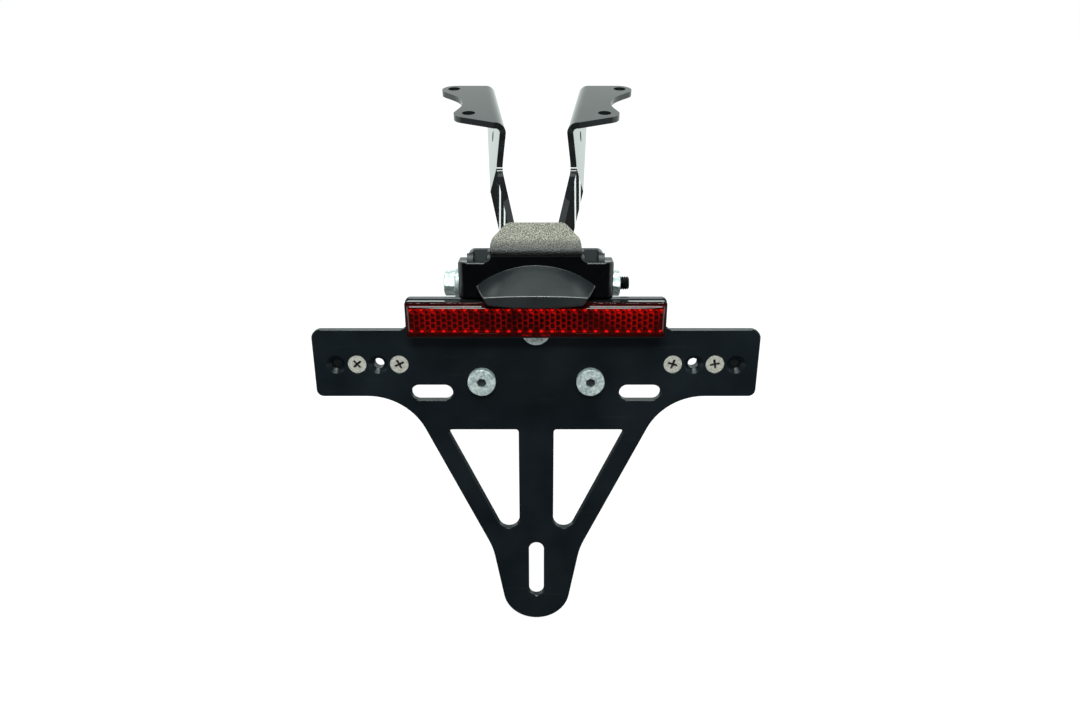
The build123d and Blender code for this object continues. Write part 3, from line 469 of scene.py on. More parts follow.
# Plated steel: bright zinc with a cool bloom, and a duller warm nickel on the countersunk screws, both with
# painted shade in their drive recesses
zincFinish = dict(
    name="brightZinc", dark=(0.38, 0.46, 0.46), light=(0.86, 0.95, 0.94), rough=(0.34, 0.50),
    scale=900.0, depth=0.00002, strength=0.15, metallic=0.35,
)
nickelFinish = dict(
    name="satinNickel", dark=(0.60, 0.57, 0.50), light=(0.90, 0.87, 0.80), rough=(0.32, 0.46),
    scale=1400.0, depth=0.00002, strength=0.15, metallic=0.45,
)
darkEndFinish = dict(
    name="darkThread", dark=(0.020, 0.022, 0.026), light=(0.060, 0.064, 0.070), rough=(0.35, 0.50),
    scale=1200.0, depth=0.00002, strength=0.15, metallic=1.0,
)
# painted shade: the drive recesses are darkened towards this near black tone
recessShade = dict(share=0.92, tone=(0.012, 0.014, 0.017))


def platedSteel(finish):
    material, tree, shader, place = startMaterial(finish["name"])
    bloom = useGroup(tree, platingBloom, {"Vector": place, "Scale": finish["scale"]})
    plating = twoTone(tree, bloom["Tone"], finish)
    # the recess mask carries painted shade into the drive recesses
    recess = addNode(tree, "Attribute", attribute_name="recess").outputs["Fac"]
    paintedRecessShade = times(tree, recess, recessShade["share"])
    brightRough, dullRough = finish["rough"]
    setSockets(tree, shader, {
        "Base Color": mixColour(tree, paintedRecessShade, plating, opaque(recessShade["tone"])),
        "Roughness": remap(tree, bloom["Tone"], 0.0, 1.0, dullRough, brightRough),
        "Metallic": finish["metallic"],
    })
    addBump(tree, shader, bloom["Tone"], finish)
    return material


# Lamp and reflector lenses: tinted glass with a slow ripple in its gloss
redGlass = dict(name="redLens", colour=(0.86, 0.010, 0.008), rough=0.04, clearness=0.972)
clearGlass = dict(name="clearLens", colour=(0.93, 0.95, 0.97), rough=0.03, clearness=1.0)
glassRipple = dict(scale=110.0, detail=2.0, range=(0.3, 0.7), spread=2.5, refraction=1.49)


def tintedLens(glass):
    material, tree, shader, place = startMaterial(glass["name"])
    ripple = noise(tree, place, glassRipple["scale"], glassRipple["detail"])
    dullest = glassRipple["spread"] * glass["rough"]
    setSockets(tree, shader, {
        "Base Color": opaque(glass["colour"]),
        "Roughness": remap(tree, ripple, *glassRipple["range"], glass["rough"], dullest),
        "Transmission Weight": glass["clearness"],
        "IOR": glassRipple["refraction"],
    })
    return material


# Prism backs: they reflect inside the red lens, so they are mirrors with slight cell-to-cell haze, and carry a
# painted red glow for the light they send back
prismFinish = dict(
    dark=(0.10, 0.007, 0.005), light=(0.20, 0.018, 0.012), rough=(0.08, 0.20),
    hazeScale=400.0, hazeDetail=2.0, hazeRange=(0.3, 0.7),
    glow=(1.0, 0.05, 0.025), paintedGlowLevel=0.57, leanRange=(-0.80, 0.80), facetBase=0.12, dotPaintedGlow=1.4,
    driftScale=60.0, driftDetail=3.0, driftRange=(0.38, 0.64), driftLow=0.10, borderRange=(0.72, 1.0),
)


def prismMirror():
    # a painted glow stands in for the room's light that facets leaning upwards send out near each cell's border,
    # more in some cells
    material, tree, shader, place = startMaterial("prismMirror")
    haze = noise(tree, place, prismFinish["hazeScale"], prismFinish["hazeDetail"])
    drift = noise(tree, place, prismFinish["driftScale"], prismFinish["driftDetail"])
    facet = addNode(tree, "NewGeometry").outputs["True Normal"]
    lean = dotProduct(tree, facet, upward)
    lit = remap(tree, lean, *prismFinish["leanRange"], prismFinish["facetBase"], 1.0)
    uneven = remap(tree, drift, *prismFinish["driftRange"], prismFinish["driftLow"], 1.0)
    rim = addNode(tree, "Attribute", attribute_name="cellRim").outputs["Fac"]
    border = remap(tree, rim, *prismFinish["borderRange"], 0.0, 1.0)
    dot = addNode(tree, "Attribute", attribute_name="edgeDotGlow").outputs["Fac"]
    cells = times(tree, times(tree, lit, uneven), border)
    # painted glow: the cells' facets and the bright edge dots emit red though they are no lamp
    glow = larger(tree, cells, times(tree, dot, prismFinish["dotPaintedGlow"]))
    setSockets(tree, shader, {
        "Base Color": twoTone(tree, haze, prismFinish),
        "Roughness": remap(tree, haze, *prismFinish["hazeRange"], *prismFinish["rough"]),
        "Metallic": 1.0,
        "Emission Color": opaque(prismFinish["glow"]),
        "Emission Strength": times(tree, glow, prismFinish["paintedGlowLevel"]),
    })
    return material


diodeFinish = dict(
    phosphor=(0.82, 0.70, 0.20), case=(0.90, 0.88, 0.80), scale=900.0, detail=3.0, rough=(0.25, 0.45),
)


def diodeWhite():
    material, tree, shader, place = startMaterial("diodeWhite")
    grain = noise(tree, place, diodeFinish["scale"], diodeFinish["detail"])
    setSockets(tree, shader, {
        "Base Color": mixColour(tree, grain, opaque(diodeFinish["phosphor"]), opaque(diodeFinish["case"])),
        "Roughness": remap(tree, grain, 0.0, 1.0, *diodeFinish["rough"]),
    })
    return material


materials = dict(
    arm=powderCoat(armFinish),
    plate=powderCoat(plateFinish),
    bracket=powderCoat(bracketFinish),
    block=mouldedPlastic(blockFinish),
    hood=mouldedPlastic(hoodFinish),
    tray=mouldedPlastic(trayFinish),
    lensBorder=mouldedPlastic(borderFinish),
    foam=mouldedPlastic(foamFinish),
    blackSteel=mouldedPlastic(screwBlackFinish),
    board=mouldedPlastic(boardFinish),
    cover=grainedCover(),
    zinc=platedSteel(zincFinish),
    nickel=platedSteel(nickelFinish),
    darkThread=platedSteel(darkEndFinish),
    redLens=tintedLens(redGlass),
    clearLens=tintedLens(clearGlass),
    prism=prismMirror(),
    diode=diodeWhite(),
)
nodeFinish = dict(
    left_arm="arm", right_arm="arm", centre_spacer="zinc", hinge_block="block", hinge_cover="cover",
    hinge_bolt="zinc", hinge_washer="zinc", hinge_nut="zinc", arm_spacers="block", carrier_plate="plate",
    carrier_screws="zinc", carrier_nuts="zinc", lamp_hood="hood", lamp_lens="clearLens",
    lamp_board="board", lamp_leds="diode", lamp_screws="blackSteel", reflector_housing="tray",
    reflector_lens="redLens", reflector_pad="foam", left_indicator_bracket="bracket",
    right_indicator_bracket="bracket", bracket_screws="nickel", bracket_nuts="zinc",
)
for nodeName, finishName in nodeFinish.items():
    slots = nodes[nodeName].data.materials
    slots.clear()
    slots.append(materials[finishName])
print("materials on", len(nodeFinish), "nodes")

# Small rolled edges on sheet and mouldings, which catch the light as thin lines
edgeRolls = dict(
    left_arm=0.0006, right_arm=0.0006, hinge_block=0.0002, lamp_hood=0.0003, reflector_housing=0.0002,
    left_indicator_bracket=0.0003, right_indicator_bracket=0.0003,
)
rollShape = dict(segments=3, sharperThan=radians(40))


def rollEdges(nodeName, width):
    roll = nodes[nodeName].modifiers.new("edgeRoll", "BEVEL")
    roll.width = width
    roll.segments = rollShape["segments"]
    roll.limit_method = "ANGLE"
    roll.angle_limit = rollShape["sharperThan"]
    roll.harden_normals = True


for nodeName, width in edgeRolls.items():
    rollEdges(nodeName, width)
print("edges rolled on", len(edgeRolls), "nodes")


# New pieces
def addObject(name, data):
    thing = bpy.data.objects.new(name, data)
    bpy.context.scene.collection.objects.link(thing)
    return thing


def addPiece(name, vertices, faceSets, material, body="holder", smooth=True):
    # each face set is an index array with a row for each face
    faces = sum((indices.tolist() for indices in faceSets), [])
    mesh = bpy.data.meshes.new(name)
    mesh.from_pydata(np.asarray(vertices).tolist(), [], faces)
    mesh.polygons.foreach_set("use_smooth", np.full(len(mesh.polygons), smooth))
    mesh.materials.append(material)
    piece = addObject(name, mesh)
    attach(piece, body)
    return piece


def addMask(piece, name, values):
    mask = piece.data.attributes.new(name, "FLOAT", "POINT")
    mask.data.foreach_set("value", np.asarray(values, np.float32))


# Reflector prisms: hexagonal cube corners, apex to the back, in columns that step by half a cell
prisms = dict(
    acrossFlats=0.00258, rows=4, columns=23, apexAboveBack=0.0003, fieldLift=-0.0005, squeeze=0.93,
    edgeTilt=0.0007, edgeSize=0.62,
)


def cellGrid(columns, heights):
    return np.stack(np.meshgrid(columns, heights), axis=-1).reshape(-1, 2)


def cubeCornerField():
    # a corner's depth is sqrt(2) times the largest reach along three directions 120 degrees apart,
    # so each cell is a centre and six rim points, joined by three square mirrors
    low, high = holderBox("reflector_lens")
    pitch = prisms["acrossFlats"]
    rim = pitch / sqrt(3)
    columnStep = rim * 1.5
    base = low[2] + prisms["apexAboveBack"]
    middle = (low[1] + high[1]) / 2 + prisms["fieldLift"]
    turns = np.arange(6) * pi / 3
    depths = np.where(np.arange(6) % 2 == 0, sqrt(2) * rim, sqrt(2) * rim / 2)
    corners = np.column_stack([rim * np.cos(turns), rim * np.sin(turns), depths])
    cell = np.vstack([[0.0, 0.0, 0.0], corners])
    column = np.arange(-prisms["columns"], prisms["columns"] + 1)
    even = column[column % 2 == 0] * columnStep
    odd = column[column % 2 != 0] * columnStep
    fullHeights = (np.arange(prisms["rows"]) - (prisms["rows"] - 1) / 2) * pitch
    stepHeights = (np.arange(prisms["rows"] - 1) - (prisms["rows"] - 2) / 2) * pitch
    centres = np.vstack([cellGrid(even, fullHeights), cellGrid(odd, stepHeights)])
    seats = np.column_stack([centres[:, 0], centres[:, 1] + middle, np.full(len(centres), base)])
    vertices = (seats[:, None, :] + cell[None, :, :]).reshape(-1, 3)
    onRim = np.tile(np.arange(len(cell)) > 0, len(centres))
    mirrors = np.array([[0, 1, 2, 3], [0, 3, 4, 5], [0, 5, 6, 1]])
    faces = (np.arange(len(centres))[:, None, None] * len(cell) + mirrors[None]).reshape(-1, 4)
    # half cells close the stepped columns at the top and bottom edge, as facets that tilt upwards
    edge = prisms["rows"] * pitch / 2
    outline = np.array([[-rim, 0.0], [-rim / 2, -pitch / 2], [rim / 2, -pitch / 2], [rim, 0.0]])
    flat = prisms["edgeSize"] * outline
    tilt = np.array([0.0, prisms["edgeTilt"], prisms["edgeTilt"], 0.0])
    topHalf = np.column_stack([flat[:, 0], flat[:, 1] + edge, tilt + rim])
    bottomTilt = prisms["edgeTilt"] - tilt[::-1]
    bottomHalf = np.column_stack([flat[::-1, 0], -flat[::-1, 1] - edge, bottomTilt + rim])
    halves = np.vstack([topHalf, bottomHalf])
    oddSeats = np.column_stack([odd, np.full(len(odd), middle), np.full(len(odd), base)])
    halfVertices = (oddSeats[:, None, :] + halves[None]).reshape(-1, 3)
    quads = np.array([[0, 1, 2, 3], [4, 5, 6, 7]])
    halfFaces = (np.arange(len(odd))[:, None, None] * len(halves) + quads[None]).reshape(-1, 4)
    # the whole field is squeezed a little in height about its middle
    field = np.vstack([vertices, halfVertices])
    field[:, 1] = middle + (field[:, 1] - middle) * prisms["squeeze"]
    # the half cells carry the edge dot mask, which gives them painted glow as bright dots
    isDot = np.repeat([0.0, 1.0], [len(vertices), len(halfVertices)])
    isRim = np.concatenate([onRim, np.ones(len(halfVertices))])
    faceSets = [faces, halfFaces + len(vertices)]
    return onHolder(field), faceSets, dict(edgeDotGlow=isDot, cellRim=isRim)


prismVertices, prismFaces, prismMasks = cubeCornerField()
prismPiece = addPiece(
    "reflectorPrisms", prismVertices, prismFaces, materials["prism"], smooth=False
)
for maskName, maskValues in prismMasks.items():
    addMask(prismPiece, maskName, maskValues)
print("reflector prisms:", len(prismPiece.data.polygons), "mirrors")


# Stacked rings, for the lens, the hood's bead and all the fasteners
def stackRings(rings, closed):
    # quads between neighbouring rings, with a flat cap on each end unless the stack closes on itself
    rows, steps = len(rings), len(rings[0])
    spans = rows if closed else rows - 1
    first, column = np.meshgrid(np.arange(spans), np.arange(steps), indexing="ij")
    second = (first + 1) % rows
    following = (column + 1) % steps
    starts = [first * steps + column, second * steps + column]
    ends = [second * steps + following, first * steps + following]
    faceSets = [np.stack(starts + ends, axis=-1).reshape(-1, 4)]
    if not closed:
        lastRing = np.arange((rows - 1) * steps, rows * steps)
        faceSets.append(np.array([np.arange(steps), lastRing[::-1]]))
    return np.vstack(rings), faceSets


def flattenEdges(piece, sharpAngle=radians(32)):
    # edges that turn by more than the angle stay crisp, the rest shade as one round surface
    piece.data.set_sharp_from_angle(angle=sharpAngle)


# Reflector lens: a flange level with the tray's edge, and a raised panel in a dark chamfered border
lensShape = dict(
    flange=(0.0002, 0.0010), flangeRoll=0.00005, panelSide=0.00025, flatEdge=0.00008, corner=0.0009,
    gap=0.00002,
)


def roundedRectangle(centre, half, corner, height, steps=5):
    # four quarter circles, each about a corner's centre that lies one radius inside the rectangle
    quarter = np.linspace(0, pi / 2, steps)
    turn = (quarter[None, :] + np.arange(4)[:, None] * pi / 2).ravel()
    sideX = np.repeat([1.0, -1.0, -1.0, 1.0], steps)
    sideY = np.repeat([1.0, 1.0, -1.0, -1.0], steps)
    x = centre[0] + sideX * (half[0] - corner) + corner * np.cos(turn)
    y = centre[1] + sideY * (half[1] - corner) + corner * np.sin(turn)
    return np.column_stack([x, y, np.full(len(turn), height)])


def lensRings():
    # outlines of the glass from back to front and of the border round its section, each given by an
    # inset from the lens's edge and a height
    low, high = holderBox("reflector_lens")
    front = high[2]
    trayFront = holderBox("reflector_housing")[1][2]
    centre, half = (low[:2] + high[:2]) / 2, (high[:2] - low[:2]) / 2
    step, roll = np.array(lensShape["flange"]), lensShape["flangeRoll"]
    flat, gap = lensShape["flatEdge"], lensShape["gap"]
    sideTop = trayFront + lensShape["panelSide"]
    chamfer = front - sideTop
    inner = step + chamfer + flat
    glass = [
        (0.0, low[2]), (0.0, trayFront - roll), (roll, trayFront),
        (inner + gap, trayFront), (inner + gap, front),
    ]
    border = [
        (inner, trayFront + gap), (step, trayFront + gap), (step, sideTop - flat),
        (step + flat, sideTop + flat), (inner - 2 * flat, front - flat), (inner, front),
    ]
    return [
        [roundedRectangle(centre, half - inset, lensShape["corner"], height) for inset, height in section]
        for section in (glass, border)
    ]


glassRings, borderRings = lensRings()
glassVertices, glassFaces = stackRings(glassRings[::-1], False)
borderVertices, borderFaces = stackRings(borderRings, True)
lensPiece = addPiece(
    "reflectorLens", onHolder(glassVertices), glassFaces, materials["redLens"]
)
borderPiece = addPiece(
    "lensBorder", onHolder(borderVertices), borderFaces, materials["lensBorder"]
)
for piece in (lensPiece, borderPiece):
    flattenEdges(piece)
    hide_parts("reflector_lens")
print("reflector lens and its border stepped")

# Hood rim: a fine bead along the arch where the hood meets the wall, and down both sides to the lip
hoodRim = dict(
    radius=0.00022, wallGap=0.0003, shoulderHeight=0.0192, lipWidth=0.0410, lipHeight=0.0195,
    steps=48, sides=8, slant=(0.3, 0.8, 0.5),
)


def hoodRimPath():
    # an arc through both shoulders and the crown: radius = (half chord squared + rise squared) / twice
    # the rise, and a straight run from each shoulder to the lip
    low, high = holderBox("lamp_hood")
    halfChord, rise = high[0], high[1] - hoodRim["shoulderHeight"]
    radius = (halfChord ** 2 + rise ** 2) / (2 * rise)
    turn = np.linspace(-1.0, 1.0, hoodRim["steps"]) * np.arcsin(halfChord / radius)
    wall = np.full(len(turn), low[2] + hoodRim["wallGap"])
    arch = np.column_stack([radius * np.sin(turn), high[1] - radius * (1 - np.cos(turn)), wall])
    lipFront = high[2] - 2 * hoodRim["wallGap"]
    lip = np.array([[-hoodRim["lipWidth"] / 2, hoodRim["lipHeight"], lipFront]])
    return np.vstack([lip, arch, lip * [-1.0, 1.0, 1.0]])


def beadRings(path, radius, sides):
    # at each point a circle across the path, spanned by two directions square to it: the first is also
    # square to a slanted line that no part of the path follows
    ahead = np.gradient(path, axis=0)
    ahead /= np.linalg.norm(ahead, axis=1)[:, None]
    aside = np.cross(ahead, hoodRim["slant"])
    aside /= np.linalg.norm(aside, axis=1)[:, None]
    above = np.cross(ahead, aside)
    turn = (np.arange(sides) * 2 * pi / sides)[None, :, None]
    spread = aside[:, None, :] * np.cos(turn) + above[:, None, :] * np.sin(turn)
    return list(path[:, None, :] + radius * spread)


rimRings = beadRings(hoodRimPath(), hoodRim["radius"], hoodRim["sides"])
rimVertices, rimFaces = stackRings(rimRings, False)
addPiece("hoodRim", onHolder(rimVertices), rimFaces, materials["hood"])
print("hood rim laid")

# Turned fasteners: a stack of rings, each a circle cut down to a hexagon or a cross where one is given
turning = dict(steps=72, ringsPerPitch=10, roundRings=7, hexRings=6)
m6 = dict(radius=0.0030, depth=0.0006, pitch=0.0010, chamfer=0.0007, halfFlats=0.0050)
m4 = dict(radius=0.0020, depth=0.00042, pitch=0.0007, chamfer=0.0005, halfFlats=0.0035)


def hexagon(halfWidth):
    # distance to a hexagon's side = half the width across flats / cosine of the angle from that side
    return lambda turn: halfWidth / np.cos((turn + pi / 6) % (pi / 3) - pi / 6)


def crossShape(halfWidth, reach, thinnest=1e-6):
    # distance to a four-armed cross = the nearer of an arm's end and its side
    def distance(turn):
        fromArm = (turn + pi / 4) % (pi / 2) - pi / 4
        return np.minimum(reach, halfWidth / np.maximum(np.abs(np.sin(fromArm)), thinnest))
    return distance


def ring(height, radius, shape=None):
    turn = np.arange(turning["steps"]) * 2 * pi / turning["steps"]
    reach = np.full(len(turn), radius)
    if shape is not None:
        reach = np.minimum(reach, shape(turn))
    return np.column_stack([reach * np.cos(turn), reach * np.sin(turn), np.full(len(turn), height)])


def threadRings(start, end, thread):
    # radius = the major radius less the depth times a triangle wave that climbs one pitch a turn
    turn = np.arange(turning["steps"]) * 2 * pi / turning["steps"]
    count = int(abs(end - start) / thread["pitch"] * turning["ringsPerPitch"]) + 1
    heights = np.linspace(start, end, count)[:, None]
    phase = (heights / thread["pitch"] - turn[None, :] / (2 * pi)) % 1.0
    wave = np.abs(2 * phase - 1)
    fade = np.clip(np.abs(heights - start) / thread["pitch"], 0, 1)
    reach = thread["radius"] - thread["depth"] * wave * fade
    reach = np.minimum(reach, thread["radius"] - thread["chamfer"] + np.abs(heights - end))
    level = np.repeat(heights, len(turn), axis=1)
    return list(np.stack([reach * np.cos(turn), reach * np.sin(turn), level], axis=-1))


def roundedRings(fromHeight, fromRadius, toHeight, toRadius):
    # a quarter ellipse: the radius grows by a sine while the height falls by one less a cosine
    turn = np.linspace(0, pi / 2, turning["roundRings"])
    heights = fromHeight + (toHeight - fromHeight) * (1 - np.cos(turn))
    radii = fromRadius + (toRadius - fromRadius) * np.sin(turn)
    return [ring(height, radius) for height, radius in zip(heights, radii)]


def chamferedHex(shape, faceHeight, faceRadius, fullHeight, fullRadius):
    # the cone that chamfers a hexagon leaves curved corners, so the limit grows in small steps
    heights = np.linspace(faceHeight, fullHeight, turning["hexRings"])
    radii = np.linspace(faceRadius, fullRadius, turning["hexRings"])
    return [ring(height, radius, shape) for height, radius in zip(heights, radii)]


def placeTurned(name, rings, seats, axes, spins, material, replaced, closed=False, recessRings=0):
    # each copy turns the profile by its spin about its own axis, then lays it along the axes at its seat;
    # the first rings, where some lie in a drive recess, carry the recess mask of painted shade
    profile, profileFaces = stackRings(rings, closed)
    x, y, height = profile.T
    vertices, faceSets = [], []
    for copy, (seat, spin) in enumerate(zip(seats, spins)):
        turnedX = x * np.cos(spin) - y * np.sin(spin)
        turnedY = x * np.sin(spin) + y * np.cos(spin)
        vertices.append(seat + np.column_stack([turnedX, turnedY, height]) @ axes)
        faceSets += [indices + copy * len(profile) for indices in profileFaces]
    piece = addPiece(name, np.vstack(vertices), faceSets, material)
    if recessRings:
        inRecess = np.arange(len(profile)) < recessRings * len(rings[0])
        addMask(piece, "recess", np.tile(inRecess, len(seats)))
    flattenEdges(piece)
    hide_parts(replaced)


# Nuts: a chamfered hexagon with a bore that widens at its mouth
m6Nut = dict(halfFlats=m6["halfFlats"], cornerRadius=0.00577, faceRadius=0.0048, drop=0.0005, bore=0.00305)
m4Nut = dict(halfFlats=m4["halfFlats"], cornerRadius=0.00404, faceRadius=0.0033, drop=0.00035, bore=0.00205)
nutMouth = dict(spread=1.08, drop=0.0003)


def nutRings(bottom, top, nut):
    # up the chamfered outside and down the bore, closed on itself
    hexShape = hexagon(nut["halfFlats"])
    corner, face, drop, bore = nut["cornerRadius"], nut["faceRadius"], nut["drop"], nut["bore"]
    rings = [ring(bottom, bore), ring(bottom, face, hexShape)]
    rings += chamferedHex(hexShape, bottom, face, bottom + drop, corner)
    rings += chamferedHex(hexShape, top - drop, corner, top, face)
    return rings + [ring(top, bore * nutMouth["spread"]), ring(top - nutMouth["drop"], bore)]


# Cross bolt: flanged hexagon head on the left, plain shank, thread at the right end
crossBolt = dict(
    flangeRadius=0.00625, flangeRim=0.0004, flangeHeight=0.0014, neckRadius=0.0058,
    cornerRadius=0.0057, faceRadius=0.0047, cornerDrop=0.0006,
    dish=0.0003, dishFloor=0.0030, dishFoot=0.0036, dishRim=0.0041,
    plainFrom=0.020, threadFrom=0.024, endInNut=0.0015,
)
nutLow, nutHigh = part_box("hinge_nut")
boltLow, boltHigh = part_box("hinge_bolt")
endStart = nutHigh.x - crossBolt["endInNut"]


def crossBoltRings():
    face = boltLow.x
    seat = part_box("hinge_washer")[0].x
    neck = seat - crossBolt["flangeHeight"]
    corner = crossBolt["cornerRadius"]
    hexShape = hexagon(m6["halfFlats"])
    rings = [
        ring(face + crossBolt["dish"], crossBolt["dishFloor"]),
        ring(face + crossBolt["dish"], crossBolt["dishFoot"]),
        ring(face, crossBolt["dishRim"]),
    ]
    rings += chamferedHex(hexShape, face, crossBolt["faceRadius"], face + crossBolt["cornerDrop"], corner)
    rings += [ring(neck, corner, hexShape), ring(neck, crossBolt["neckRadius"])]
    rings += roundedRings(
        neck, crossBolt["neckRadius"], seat - crossBolt["flangeRim"], crossBolt["flangeRadius"]
    )
    rings += [ring(seat, crossBolt["flangeRadius"]), ring(seat, m6["radius"])]
    rings += [ring(crossBolt["plainFrom"], m6["radius"])]
    return rings + threadRings(crossBolt["threadFrom"], endStart, m6)


def boltEndRings():
    # the end that stands out of the nut is dark, with its first turns hidden in the nut
    return [ring(endStart, m6["radius"] - m6["depth"])] + threadRings(endStart, boltHigh.x, m6)


boltAxes = np.array([upward, outward, across])
boltSeats = [np.array([0.0, pivot[1], pivot[2]])]
boltSpins = [0.0]
placeTurned(
    "crossBolt", crossBoltRings(), boltSeats, boltAxes, boltSpins, materials["zinc"],
    "hinge_bolt",
)
placeTurned(
    "crossBoltEnd", boltEndRings(), boltSeats, boltAxes, boltSpins, materials["darkThread"],
    "hinge_bolt",
)
placeTurned(
    "crossNut", nutRings(nutLow.x, nutHigh.x, m6Nut), boltSeats, boltAxes, boltSpins, materials["zinc"],
    "hinge_nut", closed=True,
)

# Plate screws: low round heads with a hexagon socket
plateScrew = dict(
    head=0.0030, headRadius=0.0060, rounding=0.0007, socket=0.0019, socketFloor=0.0010,
    socketMouth=0.0022, mouthDrop=0.0001, tipDrop=0.0004, tipRadius=0.0002, threadFrom=-0.0062,
    spins=[0.35, 0.9, 0.1], nutSpins=[0.2, 0.7, 0.4],
)


def plateScrewRings():
    tail = holderBox("carrier_screws")[0][2]
    socketShape = hexagon(plateScrew["socket"])
    top, floor, mouth = plateScrew["head"], plateScrew["socketFloor"], plateScrew["socketMouth"]
    radius, rounding = plateScrew["headRadius"], plateScrew["rounding"]
    rings = [
        ring(floor - plateScrew["tipDrop"], plateScrew["tipRadius"]),
        ring(floor, mouth, socketShape),
        ring(top - plateScrew["mouthDrop"], mouth, socketShape),
        ring(top, mouth),
    ]
    rings += roundedRings(top, radius - rounding, top - rounding, radius)
    rings += [ring(0.0, radius), ring(0.0, m6["radius"])]
    return rings + threadRings(plateScrew["threadFrom"], tail, m6)


plateSeats = screwSeats("carrier_screws")
placeTurned(
    "plateScrews", plateScrewRings(), plateSeats, holderAxes, plateScrew["spins"], materials["zinc"],
    "carrier_screws", recessRings=2,
)
plateNutLow, plateNutHigh = holderBox("carrier_nuts")
placeTurned(
    "plateNuts", nutRings(plateNutLow[2], plateNutHigh[2], m6Nut), plateSeats, holderAxes,
    plateScrew["nutSpins"], materials["zinc"], "carrier_nuts", closed=True,
)

# Bracket screws: countersunk heads with a cross recess that narrows in two steps to its floor, given
# as shares of the mouth's arm width and reach
bracketScrew = dict(
    drop=0.00015, headRadius=0.0040, edge=0.00015, recessReach=0.0023, recessHalf=0.00052,
    recessDepth=0.0017, floorShares=(0.6, 0.45), middleShares=(0.85, 0.85), middleDepth=0.45,
    mouthSpread=1.1, threadFrom=-0.0062, spins=[0.70, 0.45, 1.25, 0.20], nutSpins=[0.1, 0.6, 0.3, 0.8],
)


def bracketScrewRings():
    tail = holderBox("bracket_screws")[0][2]
    top = -bracketScrew["drop"]
    radius, edge = bracketScrew["headRadius"], bracketScrew["edge"]
    reach, half = bracketScrew["recessReach"], bracketScrew["recessHalf"]
    depth = bracketScrew["recessDepth"]
    middleDepth = bracketScrew["middleDepth"] * depth
    floorHalf, floorReach = bracketScrew["floorShares"]
    middleHalf, middleReach = bracketScrew["middleShares"]
    rings = [
        ring(top - depth, reach, crossShape(floorHalf * half, floorReach * reach)),
        ring(top - middleDepth, reach, crossShape(middleHalf * half, middleReach * reach)),
        ring(top, reach, crossShape(half, reach)),
        ring(top, bracketScrew["mouthSpread"] * reach),
        ring(top, radius - edge),
        ring(top - edge, radius),
        ring(top - radius + m4["radius"], m4["radius"]),
    ]
    return rings + threadRings(bracketScrew["threadFrom"], tail, m4)


bracketSeats = screwSeats("bracket_screws")
placeTurned(
    "bracketScrews", bracketScrewRings(), bracketSeats, holderAxes, bracketScrew["spins"],
    materials["nickel"], "bracket_screws", recessRings=2,
)
bracketNutLow, bracketNutHigh = holderBox("bracket_nuts")
placeTurned(
    "bracketNuts", nutRings(bracketNutLow[2], bracketNutHigh[2], m4Nut), bracketSeats, holderAxes,
    bracketScrew["nutSpins"], materials["zinc"], "bracket_nuts", closed=True,
)
print("fasteners turned")

# Studio: a white floor that keeps a faint shadow, and a surround that is bright along the horizon at the
# back and sides, dimmer overhead, and dark below the table's edge and in the room behind the camera
studio = dict(
    darkToward=(0.0, -0.97, 0.24), darkLevel=0.03, darkRange=(0.15, 0.50),
    tableEdge=(-0.375, -0.360), belowTable=0.04, horizonTop=(0.02, 0.28), horizon=1.20, wall=0.95,
    ceilingStart=(0.30, 0.75), ceiling=0.50, tint=(0.90, 1.0, 0.965), seenWhite=(1.0, 1.0, 1.0),
)
stand = dict(
    middle=0.415, half=0.080, top=-0.29, level=0.02,
    edgeLean=0.18, edgeBase=0.0594, edgePlaces=(0.3735, 0.3810), edgeHalf=0.0012, edgeLevel=2.2,
)


def darkStand(tree, direction):
    # a dark stand low at the back on both sides, with two thin bright edges that lean a little:
    # sideways is the ratio of x to y, and an edge is where sideways plus the lean times the height
    # keeps one value
    axes = addNode(tree, "SeparateXYZ", {0: direction}).outputs
    aside = mathNode(tree, "ABSOLUTE", axes["X"])
    sideways = mathNode(tree, "DIVIDE", aside, axes["Y"])
    below = mathNode(tree, "LESS_THAN", axes["Z"], stand["top"])
    within = mathNode(tree, "COMPARE", sideways, stand["middle"], stand["half"])
    rise = mathNode(tree, "MULTIPLY_ADD", axes["Z"], stand["edgeLean"], stand["edgeBase"])
    leaning = mathNode(tree, "ADD", sideways, rise)
    edges = [mathNode(tree, "COMPARE", leaning, place, stand["edgeHalf"]) for place in stand["edgePlaces"]]
    level = remap(tree, larger(tree, *edges), 0.0, 1.0, stand["level"], stand["edgeLevel"])
    return times(tree, within, below), level


def studioWorld():
    world = bpy.data.worlds.new("studio")
    tree = emptyTree(world)
    bpy.context.scene.world = world
    direction = addNode(tree, "TexCoord").outputs["Generated"]
    facing = dotProduct(tree, direction, studio["darkToward"])
    height = addNode(tree, "SeparateXYZ", {0: direction}).outputs["Z"]
    room = remap(tree, facing, *studio["darkRange"], 1.0, studio["darkLevel"])
    table = remap(tree, height, *studio["tableEdge"], studio["belowTable"], 1.0)
    wall = remap(tree, height, *studio["horizonTop"], studio["horizon"], studio["wall"])
    ceiling = remap(tree, height, *studio["ceilingStart"], 1.0, studio["ceiling"])
    openRoom = times(tree, times(tree, room, table), times(tree, wall, ceiling))
    onStand, standLevel = darkStand(tree, direction)
    level = remap(tree, onStand, 0.0, 1.0, openRoom, standLevel)
    seen = addNode(tree, "LightPath").outputs["Is Camera Ray"]
    colour = mixColour(tree, seen, scaled(tree, studio["tint"], level), opaque(studio["seenWhite"]))
    backdrop = addNode(tree, "Background", {"Color": colour})
    addNode(tree, "OutputWorld", {"Surface": backdrop.outputs[0]})


floorSheet = dict(drop=0.0110, size=8.0, white=(0.9, 0.9, 0.9), shade=0.2, glow=1.15)


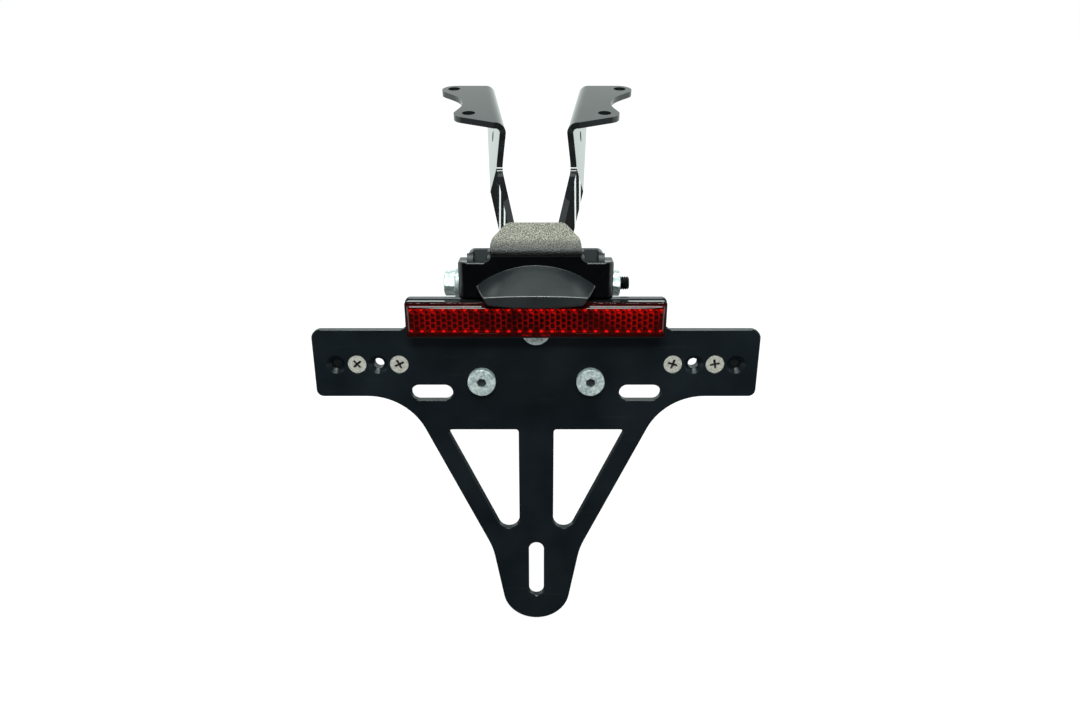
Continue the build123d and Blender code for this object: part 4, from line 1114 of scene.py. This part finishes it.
def studioFloor():
    # seen from above it glows white with a share of matt for the shadow, and from below it is clear
    half = floorSheet["size"] / 2
    depth = float(cadBox[0][2]) - floorSheet["drop"]
    corners = [(-half, -half, depth), (half, -half, depth), (half, half, depth), (-half, half, depth)]
    mesh = bpy.data.meshes.new("studioFloor")
    mesh.from_pydata(corners, [], [(0, 1, 2, 3)])
    material = bpy.data.materials.new("studioFloor")
    tree = emptyTree(material)
    glow = addNode(tree, "Emission", {"Strength": floorSheet["glow"]})
    matte = addNode(tree, "BsdfDiffuse", {"Color": opaque(floorSheet["white"])})
    top = addNode(tree, "MixShader", {0: floorSheet["shade"], 1: glow.outputs[0], 2: matte.outputs[0]})
    below = addNode(tree, "BsdfTransparent")
    side = addNode(tree, "NewGeometry").outputs["Backfacing"]
    both = addNode(tree, "MixShader", {0: side, 1: top.outputs[0], 2: below.outputs[0]})
    addNode(tree, "OutputMaterial", {"Surface": both.outputs[0]})
    mesh.materials.append(material)
    floor = addObject("studioFloor", mesh)
    floor.visible_glossy = False


lampTarget = Vector((0.0, -0.07, -0.08))
lamps = dict(
    overhead=dict(place=(0.0, -0.16, 1.30), size=(1.0, 0.22), power=11.0),
    leftSide=dict(place=(-1.1, 0.1, 0.35), size=(0.35, 0.9), power=0.6),
    rightSide=dict(place=(1.1, 0.1, 0.35), size=(0.35, 0.9), power=0.6),
    frontFill=dict(place=(0.0, -0.75, 1.05), size=(0.60, 0.28), power=11.0),
)


def studioLamp(name, setting):
    data = bpy.data.lights.new(name, "AREA")
    data.shape = "RECTANGLE"
    data.size, data.size_y = setting["size"]
    data.energy = setting["power"]
    data.color = studio["tint"]
    lamp = addObject(name, data)
    lamp.location = setting["place"]
    toward = lampTarget - lamp.location
    lamp.rotation_euler = toward.to_track_quat("-Z", "Y").to_euler()


studioWorld()
studioFloor()
for lampName, lampSetting in lamps.items():
    studioLamp(lampName, lampSetting)

view = dict(place=(0.0017, -0.3767, 0.1135), tilt=55.0, lens=25.0, sensor=36.0, nearest=0.01)
cameraData = bpy.data.cameras.new("camera")
cameraData.lens = view["lens"]
cameraData.sensor_width = view["sensor"]
cameraData.clip_start = view["nearest"]
camera = addObject("camera", cameraData)
camera.location = view["place"]
camera.rotation_euler = (radians(view["tilt"]), 0.0, 0.0)
bpy.context.scene.camera = camera
bpy.context.scene.view_settings.view_transform = "Standard"
print("studio and camera set")
